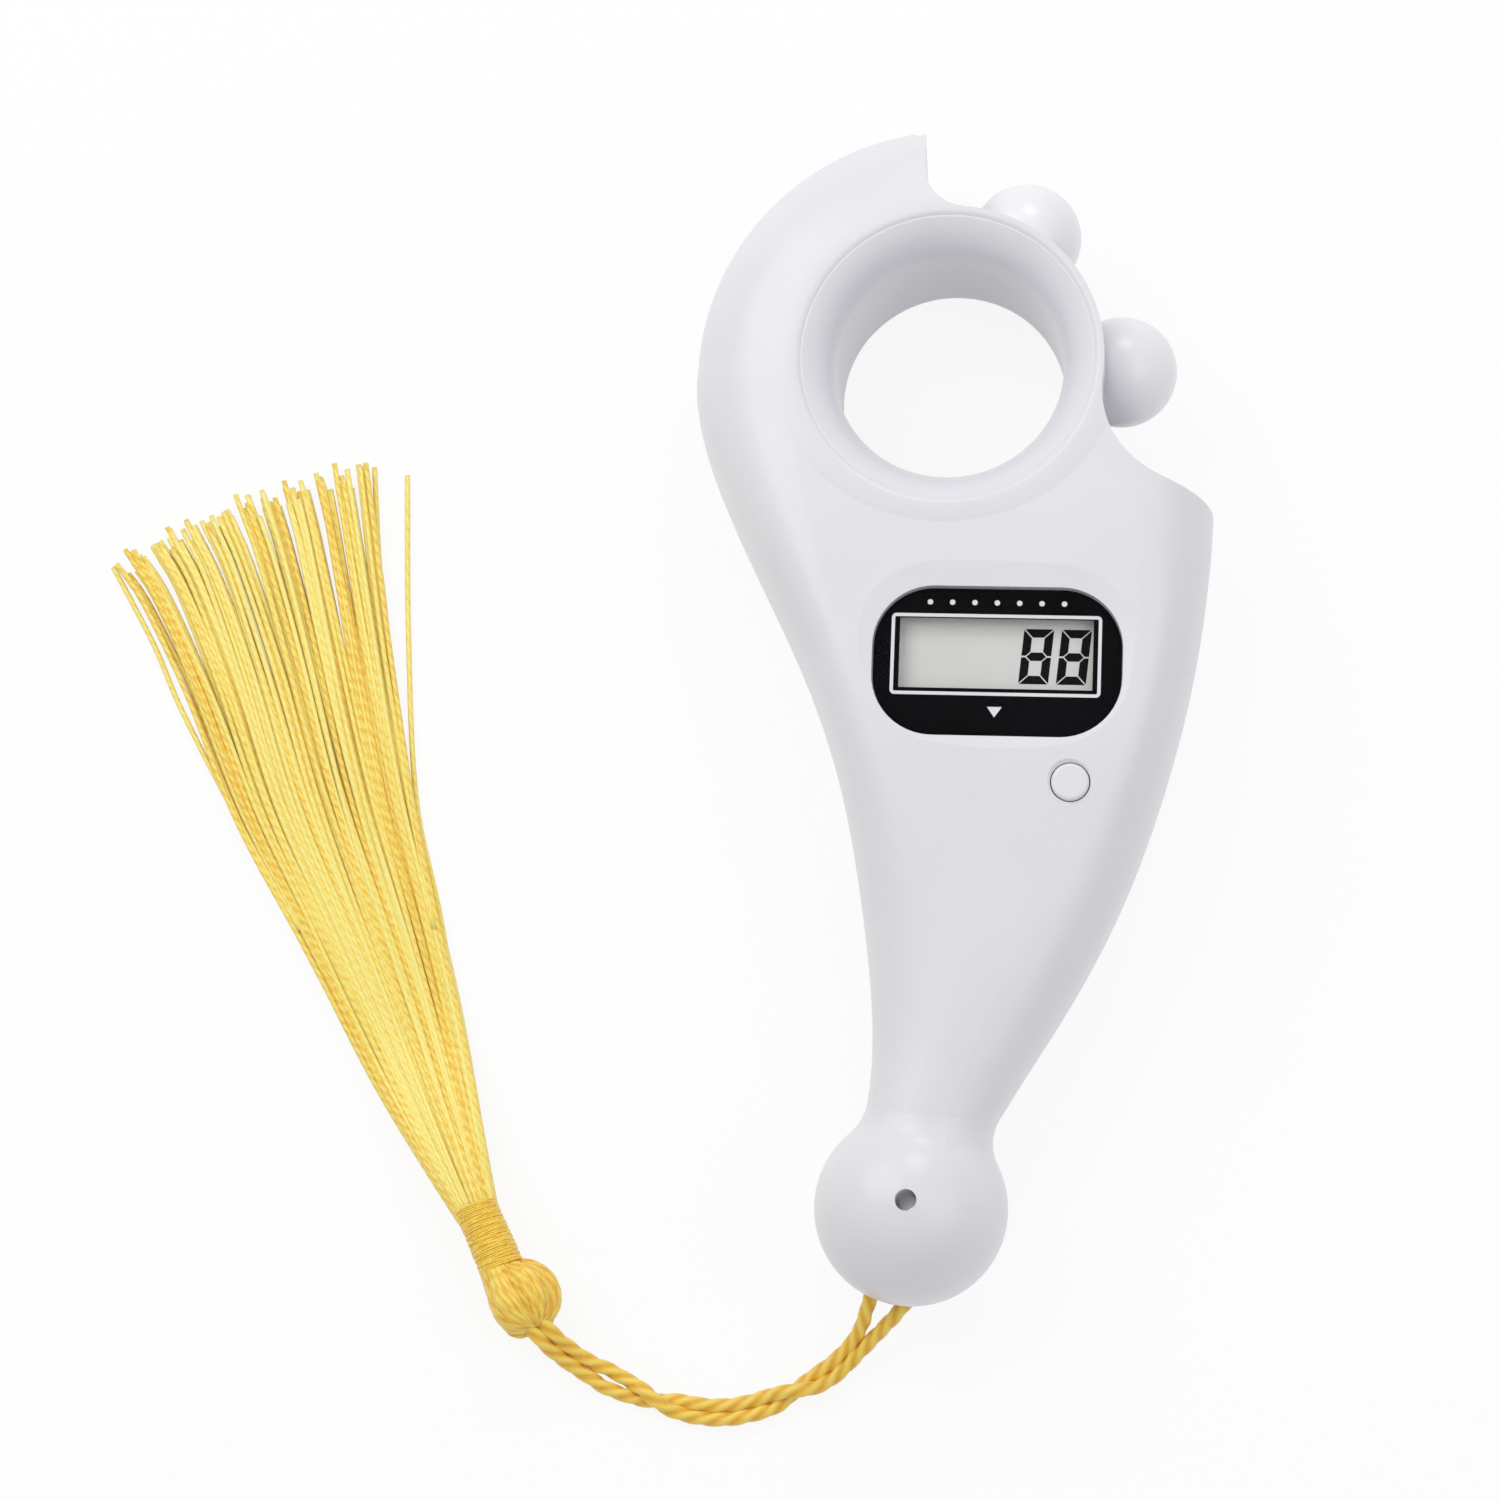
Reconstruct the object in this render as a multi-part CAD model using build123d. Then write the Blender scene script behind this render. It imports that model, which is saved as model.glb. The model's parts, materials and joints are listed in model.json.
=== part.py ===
from build123d import *
import math
import os

# Finger ring: a plain sleeve with a flared mouth at each end
finger_bore_radius = 11.0
sleeve_wall = 1.1
flare_width = 3.6
front_flare_depth = 4.4
rear_flare_depth = 4.0
flare_edge_angle = 65.0
flange_lip = 0.3
lip_radius = 0.8
lip_rise = 0.25
lip_slope = 21.0
lip_spread = 8.0
lip_depth = 1.0

# Bead wheel that the thumb pushes round the sleeve
bead_count = 6
bead_radius = 5.35
bead_orbit = 16.5
bead_phase = 5.5
hub_wall = 2.2
hub_half_height = 4.4
wheel_running_gap = 0.08
bead_clearance = 0.4
head_wall = 2.6
head_lift = 0.45
chamber_skin = 1.6

# Housing thickness, counted from the parting plane
parting_z = 10.0
ring_rise = 10.2
facet_rise = 10.0
display_crown = 10.42
ring_crown = 10.35
rear_spare = 0.12
crown_bulge = 0.3
ring_bulge = 0.15
facet_rim = 0.15
facet_slope = 8.5
facet_height = 1.2
shell_wall = 2.0
corner_fullness = 0.62
least_corner = 0.6

# Open side of the ring, where the thumb reaches the beads
beak_x = -3.1
beak_lean = 4.4
shoulder_x = 19.8
shoulder_y = -11.05
shoulder_slope = -19.0
beak_fillet = 4.0
shoulder_fillet = 9.0
beak_hood = 1.2

# Display: lens plate, printed mask, liquid crystal panel and its holder
display_x = 5.55
lens_over_chamber = 1.325
lens_length = 23.3
lens_height = 14.15
lens_corner = 5.7
lens_thickness = 0.9
lens_edge_round = 0.25
lens_fit_gap = 0.1
lens_proud = 0.15
lens_film_gap = 0.03
mask_thickness = 0.2
window_left = 2.425
window_right = 2.7
window_top = 2.825
window_bottom = 4.575
window_margin = 0.3
panel_side = 1.55
panel_above = 0.675
panel_below = 2.175
panel_thickness = 2.0
panel_gap = 0.15
housing_left = 8.075
housing_right = 7.8
holder_wall = 0.9
holder_gap = 0.05
holder_drop = 0.4
peg_radius = 0.4
strip_width = 1.6
strip_height = 3.7
strip_margin = 0.6
small_fit_gap = 0.05

# Circuit board and what it carries
board_thickness = 1.0
board_margin = 0.7
board_depth = 21.5
board_corner = 1.2
blob_radius = 3.0
blob_height = 1.1
blob_side = 6.5
blob_drop = 7.9
chip_length = 1.6
chip_width = 0.8
chip_height = 0.5
chip_count = 3
chip_pitch = 2.6
chip_x = 8.2
chip_drop = 14.6

# Reset button over a push switch
reset_x = 12.67
reset_drop = 11.35
button_radius = 1.78
button_gap = 0.1
button_flange_radius = 2.7
button_flange_height = 0.9
button_travel = 0.5
button_top_rise = 10.05
button_edge_round = 0.35
button_mouth = 0.25
guide_wall = 1.3
guide_gap = 0.04
switch_side = 4.6
switch_height = 2.4
plunger_radius = 1.0
plunger_height = 0.8
plunger_stop_gap = 0.15

# Button cell, its well, contacts and coin-slot cover
cell_radius = 5.8
cell_height = 5.4
cell_cap_radius = 4.9
cell_cap_height = 0.6
cell_drop = 1.6
cell_side_gap = 0.3
cell_end_gap = 0.1
well_wall = 1.2
well_rim = 0.2
cover_radius = 7.8
cover_gap = 0.1
cover_recess = 0.2
cover_hub_inset = 0.8
lug_count = 2
lug_reach = 1.1
lug_height = 0.9
lug_angle = 34.0
lug_gap = 0.15
lug_side_angle = 3.0
unlock_angle = 60.0
socket_wall = 1.0
socket_roof = 1.0
coin_slot_length = 9.0
coin_slot_width = 1.6
coin_slot_depth = 0.8
spring_strip = 0.3
spring_width = 4.0
spring_reach = 4.2
spring_bend = 1.8
clip_width = 3.0
clip_reach = 2.2
clip_foot = 0.4

# Count switch: a leaf that each passing bead pushes against a fixed post
leaf_angle = -84.0
leaf_strip = 0.25
leaf_height = 1.8
leaf_nose_gap = 0.35
leaf_rise = 2.5
leaf_half_span = 2.0
leaf_tail_rise = 4.1
leaf_tail = 8.5
leaf_bend = 0.7
leaf_window = 6.0
leaf_window_height = 3.0
leaf_foot_side = 1.2
post_radius = 0.5
post_gap = 0.5
post_depth = 2.2

# Screws through the rear shell, and the smaller ones that hold the board
right_screw_inset = 3.85
right_screw_up = 6.6
left_screw_inset = 2.7
left_screw_up = 4.8
tail_screw_x = 3.6
tail_screw_share = 0.582
housing_screw_radius = 0.9
housing_head_radius = 1.75
housing_head_height = 1.4
housing_screw_length = 11.0
housing_seat_z = 3.6
screw_boss_wall = 0.9
screw_clearance = 0.15
board_screw_gap = 2.0
board_screw_drop = 2.2
low_board_screw_x = 3.4
low_board_screw_drop = 14.4
board_screw_radius = 0.7
board_head_radius = 1.4
board_head_height = 0.8
board_screw_length = 4.6
board_boss_wall = 1.0
driver_slot_width = 0.5
driver_slot_depth = 0.5
driver_slot_share = 0.75

# Tail ball with its through hole and the slot that the cord leaves by
tail_x = -1.4
tail_drop = 50.5
tail_radius = 9.1
neck_fillet = 4.6
tail_hole_radius = 1.0
tail_tube_wall = 1.1
cord_slot_shift = -1.7
cord_slot_length = 8.4
cord_slot_height = 2.6
cord_slot_drop = 3.6

# Cord: one loop round the tail's tube, both ends tied into the tassel head
cord_radius = 0.725
cord_post_gap = 0.03
cord_pair_spacing = 1.75
cord_bend_share = 0.45
# Cord points, counted from the tail ball's middle across and along, and from the table up
cord_pair_route = [
    (-36.8, -9.8, 3.2),
    (-33.8, -13.1, 1.6),
    (-29.2, -16.4, 1.0),
    (-23.8, -18.4, 1.0),
    (-18.2, -19.5, 1.0),
    (-12.6, -17.9, 1.0),
]
cord_left_leg = [(-8.4, -14.9, 1.0), (-5.5, -11.9, 2.4), (-4.0, -8.5, 6.0), (-3.0, -3.9, 6.4)]
cord_right_leg = [(-7.4, -16.3, 1.0), (-3.8, -12.9, 2.4), (-0.9, -8.8, 6.0), (2.8, -3.9, 6.4)]

# Tassel: folded head, wound neck and loose skirt, lying on the table
tassel_head_across = -37.5
tassel_head_along = -9.1
tassel_angle = 112.0
tassel_head_radius = 3.7
tassel_head_length = 8.4
tassel_neck_radius = 1.7
binding_thread_radius = 0.3
binding_turns = 5
binding_pitch = 1.15
binding_start = 4.6
binding_seat_gap = 0.06
skirt_start = 11.6
# Skirt sections: distance from the head, sideways shift, width, height, height of its middle
skirt_sections = [
    (skirt_start, 0.4, 3.6, 3.4, 3.7),
    (17.5, 1.0, 5.6, 3.4, 2.5),
    (26.0, 1.9, 9.0, 3.2, 1.65),
    (46.0, 2.2, 15.0, 2.8, 1.45),
    (66.0, 1.4, 21.8, 2.4, 1.25),
    (85.0, 1.2, 28.4, 2.0, 1.05),
]
skirt_roundness = 0.42

# Sizes that follow from the ones above
sleeve_radius = finger_bore_radius + sleeve_wall
ridge_radius = finger_bore_radius + flare_width
flange_radius = ridge_radius + flange_lip
chamber_radius = bead_radius + bead_clearance
chamber_reach = bead_orbit + chamber_radius
jacket_radius = chamber_radius + chamber_skin
head_radius = chamber_reach + head_wall
head_corner = head_radius - ridge_radius
display_y = -(chamber_reach + chamber_skin + lens_height / 2 - lens_over_chamber)
ring_top_z = parting_z + ring_rise + lip_rise
flare_end_radius = ridge_radius - lip_radius * math.sin(math.radians(lip_slope))
flare_end_z = ring_top_z - lip_radius * (1 - math.cos(math.radians(lip_slope)))
facet_z = parting_z + facet_rise
rear_rise = parting_z + rear_spare
panel_top_z = facet_z - shell_wall - panel_gap
rear_inner_z = shell_wall
lens_low_z = facet_z + lens_proud - lens_thickness
lens_floor_z = lens_low_z - lens_film_gap - mask_thickness
board_top_z = panel_top_z - panel_thickness - strip_height
board_bottom_z = board_top_z - board_thickness
tail_y = display_y - tail_drop
sleeve_top_z = parting_z + chamber_radius + small_fit_gap
window_length = lens_length - window_left - window_right
window_height = lens_height - window_top - window_bottom
window_x = display_x + (window_left - window_right) / 2
window_y = display_y + (window_bottom - window_top) / 2
panel_length = window_length + 2 * panel_side
panel_height = window_height + panel_above + panel_below
panel_y = window_y + (panel_above - panel_below) / 2
display_left = window_x - panel_length / 2 - housing_left
display_right = window_x + panel_length / 2 + housing_right
facet_reach = facet_height / math.tan(math.radians(facet_slope))
hood_z = parting_z + chamber_radius
reset_y = display_y - reset_drop
switch_top_z = board_top_z + switch_height
plunger_top_z = switch_top_z + plunger_height
guide_z = plunger_top_z + button_flange_height + 2 * guide_gap
cell_x = display_x
cell_y = display_y - cell_drop
opening_radius = cover_radius + cover_gap
lug_radius = cover_radius + lug_reach
groove_radius = lug_radius + cover_gap
groove_top_z = rear_inner_z + lug_height + 2 * lug_gap
socket_radius = groove_radius + socket_wall
socket_top_z = groove_top_z + socket_roof
lug_z = rear_inner_z + lug_gap
cell_z = lug_z + lug_height + cell_end_gap
cell_top_z = cell_z + cell_height
well_radius = cell_radius + cell_side_gap
screw_boss_radius = housing_head_radius + screw_clearance + screw_boss_wall
tail_tube_radius = tail_hole_radius + tail_tube_wall
cord_slot_x = tail_x + cord_slot_shift
cord_slot_z = parting_z - cord_slot_drop
far = 4 * head_radius
board_screw_x = window_x - panel_length / 2 - holder_gap - holder_wall - board_screw_gap
housing_screw_places = [
    (display_right - right_screw_inset, display_y + right_screw_up),
    (display_left + left_screw_inset, display_y + left_screw_up),
    (tail_screw_x, display_y - tail_screw_share * tail_drop),
]
board_screw_places = [
    (board_screw_x, display_y - board_screw_drop),
    (low_board_screw_x, display_y - low_board_screw_drop),
]

# Upper stations: share of the way up to the ring axis, share of the left edge's way out from the display's
# edge to the head's, right edge past the head's, corner cut back from the head's, front rise and its bulge
upper_shape = [
    (0.831, 0.957, 0.3, 0.5, ring_rise, 0),
    (0.595, 0.744, 0.7, 1.9, ring_rise, 0),
    (0.324, 0.41, 0.3, 3.8, ring_crown, ring_bulge),
]
# Lower stations: share of the way down to the tail ball, shares of the left and right edge's way out from the
# tail ball to the display's edges, corner width, rise front and rear
lower_shape = [
    (0.206, 0.681, 0.903, 5.6, 10.05),
    (0.404, 0.496, 0.772, 6.4, 9.2),
    (0.602, 0.374, 0.584, 6.5, 8.2),
    (0.76, 0.353, 0.398, 5.2, 7.3),
    (0.919, 0.403, 0.224, 3.6, 6.4),
]
display_corner = 5.3


def handle_rows():
    rows = [(head_lift, -head_radius, head_radius, head_corner, ring_rise, rear_rise, 0)]
    for up, out, past, cut, rise, bulge in upper_shape:
        left = display_left - out * (display_left + head_radius)
        right = head_radius + past
        rows.append((display_y - up * display_y, left, right, head_corner - cut, rise, rear_rise, bulge))
    display_rises = (display_crown, rear_rise, crown_bulge)
    rows.append((display_y, display_left, display_right, display_corner, *display_rises))
    for down, left_out, right_out, corner, rise in lower_shape:
        left = tail_x + left_out * (display_left - tail_x)
        right = tail_x + right_out * (display_right - tail_x)
        rows.append((display_y - down * tail_drop, left, right, corner, rise, rise, crown_bulge))
    return rows


# Handle stations: place along the handle, left and right edge, corner width, front and rear rise, front bulge
handle_stations = handle_rows()
cavity_stations = handle_stations[3:9]


upward = (Align.CENTER, Align.CENTER, Align.MIN)


def disc(x, y, radius, low, high):
    return Pos(x, y, low) * Cylinder(radius, high - low, align=upward)


def ring(x, y, inner, outer, low, high):
    return disc(x, y, outer, low, high) - disc(x, y, inner, low, high)


def block(x, y, length, width, low, high):
    return Pos(x, y, low) * Box(length, width, high - low, align=upward)


def plate(x, y, length, height, corner, low, high):
    outline = Pos(x, y, low) * RectangleRounded(length, height, corner)
    return extrude(outline, high - low)


def turned(profile):
    return revolve(Plane.XZ * profile, Axis.Z)


def sector(x, y, inner, outer, angle, width, low, high):
    reach = 2 * outer
    half = math.radians(width / 2)
    rise = reach * math.tan(half)
    wedge = make_face(Polyline((0, 0), (reach, -rise), (reach, rise), close=True))
    shape = (Circle(outer) - Circle(inner)) & wedge
    return extrude(Pos(x, y, low) * Rot(0, 0, angle) * shape, high - low)


def edges_at(y):
    for above, below in zip(handle_stations, handle_stations[1:]):
        if below[0] <= y <= above[0]:
            share = (above[0] - y) / (above[0] - below[0])
            left = above[1] + share * (below[1] - above[1])
            right = above[2] + share * (below[2] - above[2])
            return left, right
    raise ValueError("no handle at this height")


def section_wire(station, inset):
    y, left, right, corner, front, rear, bulge = station
    x0 = left + inset
    x1 = right - inset
    top = parting_z + front - inset
    bottom = parting_z - rear + inset
    width = max(corner - inset, least_corner)
    reach = width * (1 - corner_fullness)
    up = parting_z + (top - parting_z) * corner_fullness
    down = parting_z - (parting_z - bottom) * corner_fullness

    edge_top = top - bulge
    fall = 4 * bulge / (x1 - x0 - 2 * width) * (width - reach)

    def curve(*points):
        return Edge.make_bezier(*[Vector(x, y, z) for x, z in points])

    def line(start, end):
        return Edge.make_line(Vector(start[0], y, start[1]), Vector(end[0], y, end[1]))

    mid = parting_z
    return Wire([
        curve((x1, mid), (x1, up), (x1 - reach, edge_top - fall), (x1 - width, edge_top)),
        curve((x1 - width, edge_top), ((x0 + x1) / 2, top + bulge), (x0 + width, edge_top)),
        curve((x0 + width, edge_top), (x0 + reach, edge_top - fall), (x0, up), (x0, mid)),
        curve((x0, mid), (x0, down), (x0 + reach, bottom), (x0 + width, bottom)),
        line((x0 + width, bottom), (x1 - width, bottom)),
        curve((x1 - width, bottom), (x1 - reach, bottom), (x1, down), (x1, mid)),
    ])


def handle_loft(stations, inset):
    return Solid.make_loft([section_wire(station, inset) for station in stations])


def head_half():
    full = Face(section_wire(handle_stations[0], 0))
    right_half = full & Pos(far, 0, 0) * Box(2 * far, 2 * far, 2 * far)
    return revolve(right_half, Axis((0, head_lift, 0), (0, 0, 1)), 180)


def flange_corners(face):
    sharp = [v for v in face.vertices() if abs(Vector(v.X, v.Y).length - flange_radius) < 0.01]
    return ShapeList(sharp)


def bite_outline(beak):
    slope = math.radians(shoulder_slope)
    along = Vector(math.cos(slope), math.sin(slope))
    start = Vector(shoulder_x, shoulder_y) - along * shoulder_x
    end = Vector(shoulder_x, shoulder_y) + along * far
    lean = math.tan(math.radians(beak_lean))
    corner = Vector(beak + (head_radius - start.Y) * lean, start.Y)
    tip = Vector(beak + (head_radius - far) * lean, far)
    outline = Polyline(corner, start, end, (far, far), tip, close=True)
    open_side = make_face(outline) - Circle(flange_radius)
    open_side = fillet(flange_corners(open_side).sort_by(Axis.X)[0], beak_fillet)
    return fillet(flange_corners(open_side).sort_by(Axis.X)[-1], shoulder_fillet)


def bite_space():
    front = extrude(Pos(0, 0, hood_z) * bite_outline(beak_x), far)
    return [front, extrude(Pos(0, 0, hood_z) * bite_outline(beak_x - beak_hood), -far)]


def facet_space():
    outlines = []
    for spread, z in ((facet_rim, facet_z), (facet_rim + facet_reach, facet_z + facet_height)):
        outline = RectangleRounded(lens_length + 2 * spread, lens_height + 2 * spread, lens_corner + spread)
        outlines.append(Pos(display_x, display_y, z) * outline)
    return loft(outlines, ruled=True)


def rolled_lip():
    crest = Pos(ridge_radius, ring_top_z - lip_radius) * Circle(lip_radius)
    outside = Pos(ridge_radius, ring_top_z) * Rectangle(far, 2 * lip_depth, align=(Align.MIN, Align.CENTER))
    fall = Pos(ridge_radius, ring_top_z - lip_spread) * Circle(lip_spread) & outside
    return turned(crest + fall)


def outer_body():
    tail = Pos(tail_x, tail_y, parting_z) * Sphere(tail_radius)
    body = head_half() + handle_loft(handle_stations, 0)
    body = body + tail
    centre = Vector(tail_x, tail_y, parting_z)
    collar = [e for e in body.edges() if abs((centre - e @ 0.5).length - tail_radius) < 0.05]
    collar = [e for e in collar if (e @ 0.5).Y > tail_y + tail_radius / 4]
    body = fillet(collar, neck_fillet)
    body = body - facet_space()
    body = body + rolled_lip()
    return body - block(0, 0, 2 * far, 4 * far, -far, 0)


def bore_space():
    low = rear_flare_depth
    high = ring_top_z - front_flare_depth
    edge = math.radians(flare_edge_angle)
    front_reach = (flare_end_radius - finger_bore_radius) / (1 - math.cos(edge))
    rear_reach = flare_width / (1 - math.cos(edge))
    front_depth = (flare_end_z - high) / math.sin(edge)
    rear_depth = low / math.sin(edge)
    turn = flare_edge_angle
    front_centre = (finger_bore_radius + front_reach, high)
    rear_centre = (finger_bore_radius + rear_reach, low)
    front = EllipticalCenterArc(front_centre, front_reach, front_depth, start_angle=180 - turn, arc_size=turn)
    rear = EllipticalCenterArc(rear_centre, rear_reach, rear_depth, start_angle=180, arc_size=turn)
    mouth = [(flare_end_radius, far), (flare_end_radius, flare_end_z)]
    lines = [
        front,
        Line((finger_bore_radius, high), (finger_bore_radius, low)),
        rear,
        Polyline((ridge_radius, 0), (ridge_radius, -far), (0, -far), (0, far), *mouth),
    ]
    return turned(make_face(lines))


def wheel_space(radius, inner):
    outward = (Align.MIN, Align.CENTER)
    box_part = Pos(inner, parting_z) * Rectangle(bead_orbit - inner, 2 * radius, align=outward)
    round_part = Pos(bead_orbit, parting_z) * Circle(radius)
    outside = Pos(inner, parting_z) * Rectangle(far, far, align=outward)
    return turned((box_part + round_part) & outside)


def cell_socket():
    base = disc(cell_x, cell_y, socket_radius, 0, socket_top_z)
    wall = disc(cell_x, cell_y, well_radius + well_wall, 0, cell_top_z + well_rim)
    return base + wall


def cell_space():
    space = disc(cell_x, cell_y, opening_radius, -1, rear_inner_z)
    space += disc(cell_x, cell_y, groove_radius, rear_inner_z, groove_top_z)
    space += disc(cell_x, cell_y, well_radius, 0, cell_top_z + 1)
    for number in range(lug_count):
        angle = unlock_angle + number * 360 / lug_count
        width = lug_angle + lug_side_angle
        space += sector(cell_x, cell_y, cover_radius / 2, groove_radius, angle, width, -1, rear_inner_z)
    clip_room = clip_width + 2 * cell_side_gap
    clip_depth = well_wall + 2 * cell_side_gap
    clip_x = cell_x + cell_radius + clip_depth / 2
    return space + block(clip_x, cell_y, clip_depth, clip_room, socket_top_z, cell_top_z + 1)


def inner_space():
    space = handle_loft(cavity_stations, shell_wall) - wheel_space(jacket_radius, 0)
    space = space - extrude(offset(bite_outline(beak_x), shell_wall), far, both=True)
    for x, y in housing_screw_places:
        space = space - disc(x, y, screw_boss_radius, -1, far)
    for x, y in board_screw_places:
        space = space - disc(x, y, board_screw_radius + board_boss_wall, board_top_z, far)
    space = space - disc(reset_x, reset_y, button_radius + button_gap + guide_wall, guide_z, far)
    space = space - cell_socket()
    hollow_tail = Pos(tail_x, tail_y, parting_z) * Sphere(tail_radius - shell_wall)
    return [space, hollow_tail - disc(tail_x, tail_y, tail_tube_radius, -1, far)]


def screw_holes():
    holes = []
    for x, y in housing_screw_places:
        holes.append(disc(x, y, housing_head_radius + screw_clearance, -1, housing_seat_z))
        holes.append(disc(x, y, housing_screw_radius + screw_clearance, 0, parting_z))
        depth = housing_seat_z + housing_screw_length + screw_clearance
        holes.append(disc(x, y, housing_screw_radius + small_fit_gap, 0, depth))
    for x, y in board_screw_places:
        depth = board_bottom_z + board_screw_length + screw_clearance
        holes.append(disc(x, y, board_screw_radius + small_fit_gap, board_bottom_z, depth))
    return holes


def front_openings():
    gap = 2 * lens_fit_gap
    corner = lens_corner + lens_fit_gap
    lens = plate(display_x, display_y, lens_length + gap, lens_height + gap, corner, lens_floor_z, far)
    across = window_length + 2 * window_margin
    tall = window_height + 2 * window_margin
    window = block(window_x, window_y, across, tall, panel_top_z - 1, far)
    hole = button_radius + button_gap
    button = disc(reset_x, reset_y, hole, guide_z - 1, far)
    mouth_z = parting_z + button_top_rise - button_edge_round
    mouth = Pos(reset_x, reset_y, mouth_z) * Cone(hole, hole + 2 * button_mouth, 2 * button_mouth, align=upward)
    return [lens, window, button, mouth]


def tail_openings():
    slot = SlotOverall(cord_slot_length, cord_slot_height)
    tunnel = extrude(Plane.XZ.offset(-tail_y) * (Pos(cord_slot_x, cord_slot_z) * slot), 2 * tail_radius)
    keep = disc(tail_x, tail_y, tail_tube_radius, -1, far)
    return [tunnel - keep, disc(tail_x, tail_y, tail_hole_radius, -1, far)]


def leaf_frame():
    return Plane(origin=(0, 0, 0), x_dir=Vector(1, 0, 0).rotate(Axis.Z, leaf_angle), z_dir=(0, 0, 1))


def leaf_opening():
    middle = chamber_reach + chamber_skin / 2
    opening = Pos(middle, 0, parting_z) * Box(4 * chamber_skin, leaf_window, leaf_window_height)
    return leaf_frame() * opening


def housing():
    body = outer_body() - bore_space()
    cuts = bite_space() + [wheel_space(chamber_radius, sleeve_radius), leaf_opening(), cell_space()]
    cuts += inner_space() + screw_holes() + front_openings() + tail_openings()
    for cut in cuts:
        body = body - cut
    return body


def front_shell(body):
    half = body & block(0, 0, 2 * far, 4 * far, parting_z, far)
    return half - disc(0, 0, sleeve_radius + small_fit_gap, 0, sleeve_top_z)


def rear_shell(body):
    half = body & block(0, 0, 2 * far, 4 * far, -far, parting_z)
    sleeve = ring(0, 0, finger_bore_radius, sleeve_radius, rear_flare_depth, sleeve_top_z)
    return half + sleeve


def bead_wheel():
    inner = sleeve_radius + wheel_running_gap
    wheel = disc(0, 0, inner + hub_wall, parting_z - hub_half_height, parting_z + hub_half_height)
    bead = Pos(bead_orbit, 0, parting_z) * Rot(0, 90, 0) * Sphere(bead_radius)
    for number in range(bead_count):
        wheel += Rot(0, 0, bead_phase + number * 360 / bead_count) * bead
    return wheel - disc(0, 0, inner, -far, far)


def display_lens():
    high = lens_low_z + lens_thickness
    lens = plate(display_x, display_y, lens_length, lens_height, lens_corner, lens_low_z, high)
    return fillet(lens.faces().sort_by(Axis.Z)[-1].edges(), lens_edge_round)


def lens_mask():
    high = lens_floor_z + mask_thickness
    film = plate(display_x, display_y, lens_length, lens_height, lens_corner, lens_floor_z, high)
    return film - block(window_x, window_y, window_length, window_height, 0, far)


def lcd_panel():
    low = panel_top_z - panel_thickness
    return block(window_x, panel_y, panel_length, panel_height, low, panel_top_z)


def lcd_holder():
    inner_length = panel_length + 2 * holder_gap
    inner_height = panel_height + 2 * holder_gap
    outer_length = inner_length + 2 * holder_wall
    outer_height = inner_height + 2 * holder_wall
    high = panel_top_z - holder_drop
    holder = block(window_x, panel_y, outer_length, outer_height, board_top_z, high)
    holder -= block(window_x, panel_y, inner_length, inner_height, 0, far)
    for x, y in peg_places():
        holder += disc(x, y, peg_radius, board_bottom_z, board_top_z)
    return holder


def peg_places():
    across = panel_length / 2 + holder_gap + holder_wall / 2
    tall = panel_height / 4
    return [(window_x - across, panel_y - tall), (window_x + across, panel_y + tall)]


def contact_strips():
    reach = panel_height / 2 - strip_margin - strip_width / 2
    length = panel_length - 2 * strip_margin
    high = board_top_z + strip_height
    places = [panel_y + reach, panel_y - reach]
    return [block(window_x, y, length, strip_width, board_top_z, high) for y in places]


def circuit_board():
    high = -(chamber_reach + chamber_skin + board_margin / 2)
    low = high - board_depth
    middle = (high + low) / 2
    inset = shell_wall + board_margin
    left = [(edges_at(y)[0] + inset, y) for y in (high, middle, low)]
    right = [(edges_at(y)[1] - inset, y) for y in (low, middle, high)]
    outline = make_face(Polyline(*left, *right, close=True))
    outline = fillet(outline.vertices(), board_corner)
    board = extrude(Pos(0, 0, board_bottom_z) * outline, board_thickness)
    for x, y in housing_screw_places:
        board -= disc(x, y, screw_boss_radius + board_margin / 2, 0, far)
    for x, y in board_screw_places:
        board -= disc(x, y, board_screw_radius + screw_clearance, 0, far)
    for x, y in peg_places():
        board -= disc(x, y, peg_radius + small_fit_gap, 0, far)
    return board


def controller_blob():
    cap_radius = (blob_radius ** 2 + blob_height ** 2) / (2 * blob_height)
    x = display_x - blob_side
    y = display_y - blob_drop
    ball = Pos(x, y, board_bottom_z - blob_height + cap_radius) * Sphere(cap_radius)
    return ball & block(x, y, far, far, -far, board_bottom_z)


def board_resistors():
    y = display_y - chip_drop
    start = chip_x - chip_pitch * (chip_count - 1) / 2
    low = board_bottom_z - chip_height
    places = [start + chip_pitch * number for number in range(chip_count)]
    return [block(x, y, chip_length, chip_width, low, board_bottom_z) for x in places]


def reset_button():
    low = plunger_top_z + guide_gap
    flange = disc(reset_x, reset_y, button_flange_radius, low, low + button_flange_height)
    button = flange + disc(reset_x, reset_y, button_radius, low, parting_z + button_top_rise)
    return fillet(button.faces().sort_by(Axis.Z)[-1].edges(), button_edge_round)


def plunger_low_z():
    return switch_top_z - button_travel - plunger_stop_gap


def reset_switch():
    floor = plunger_low_z() - button_travel - plunger_stop_gap
    case = block(reset_x, reset_y, switch_side, switch_side, board_top_z, switch_top_z)
    return case - disc(reset_x, reset_y, plunger_radius + button_gap, floor, far)


def reset_plunger():
    return disc(reset_x, reset_y, plunger_radius, plunger_low_z(), plunger_top_z)


def battery_cell():
    can = disc(cell_x, cell_y, cell_radius, cell_z, cell_top_z)
    step = ring(cell_x, cell_y, cell_cap_radius, far, cell_top_z - cell_cap_height, far)
    return can - step


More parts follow.
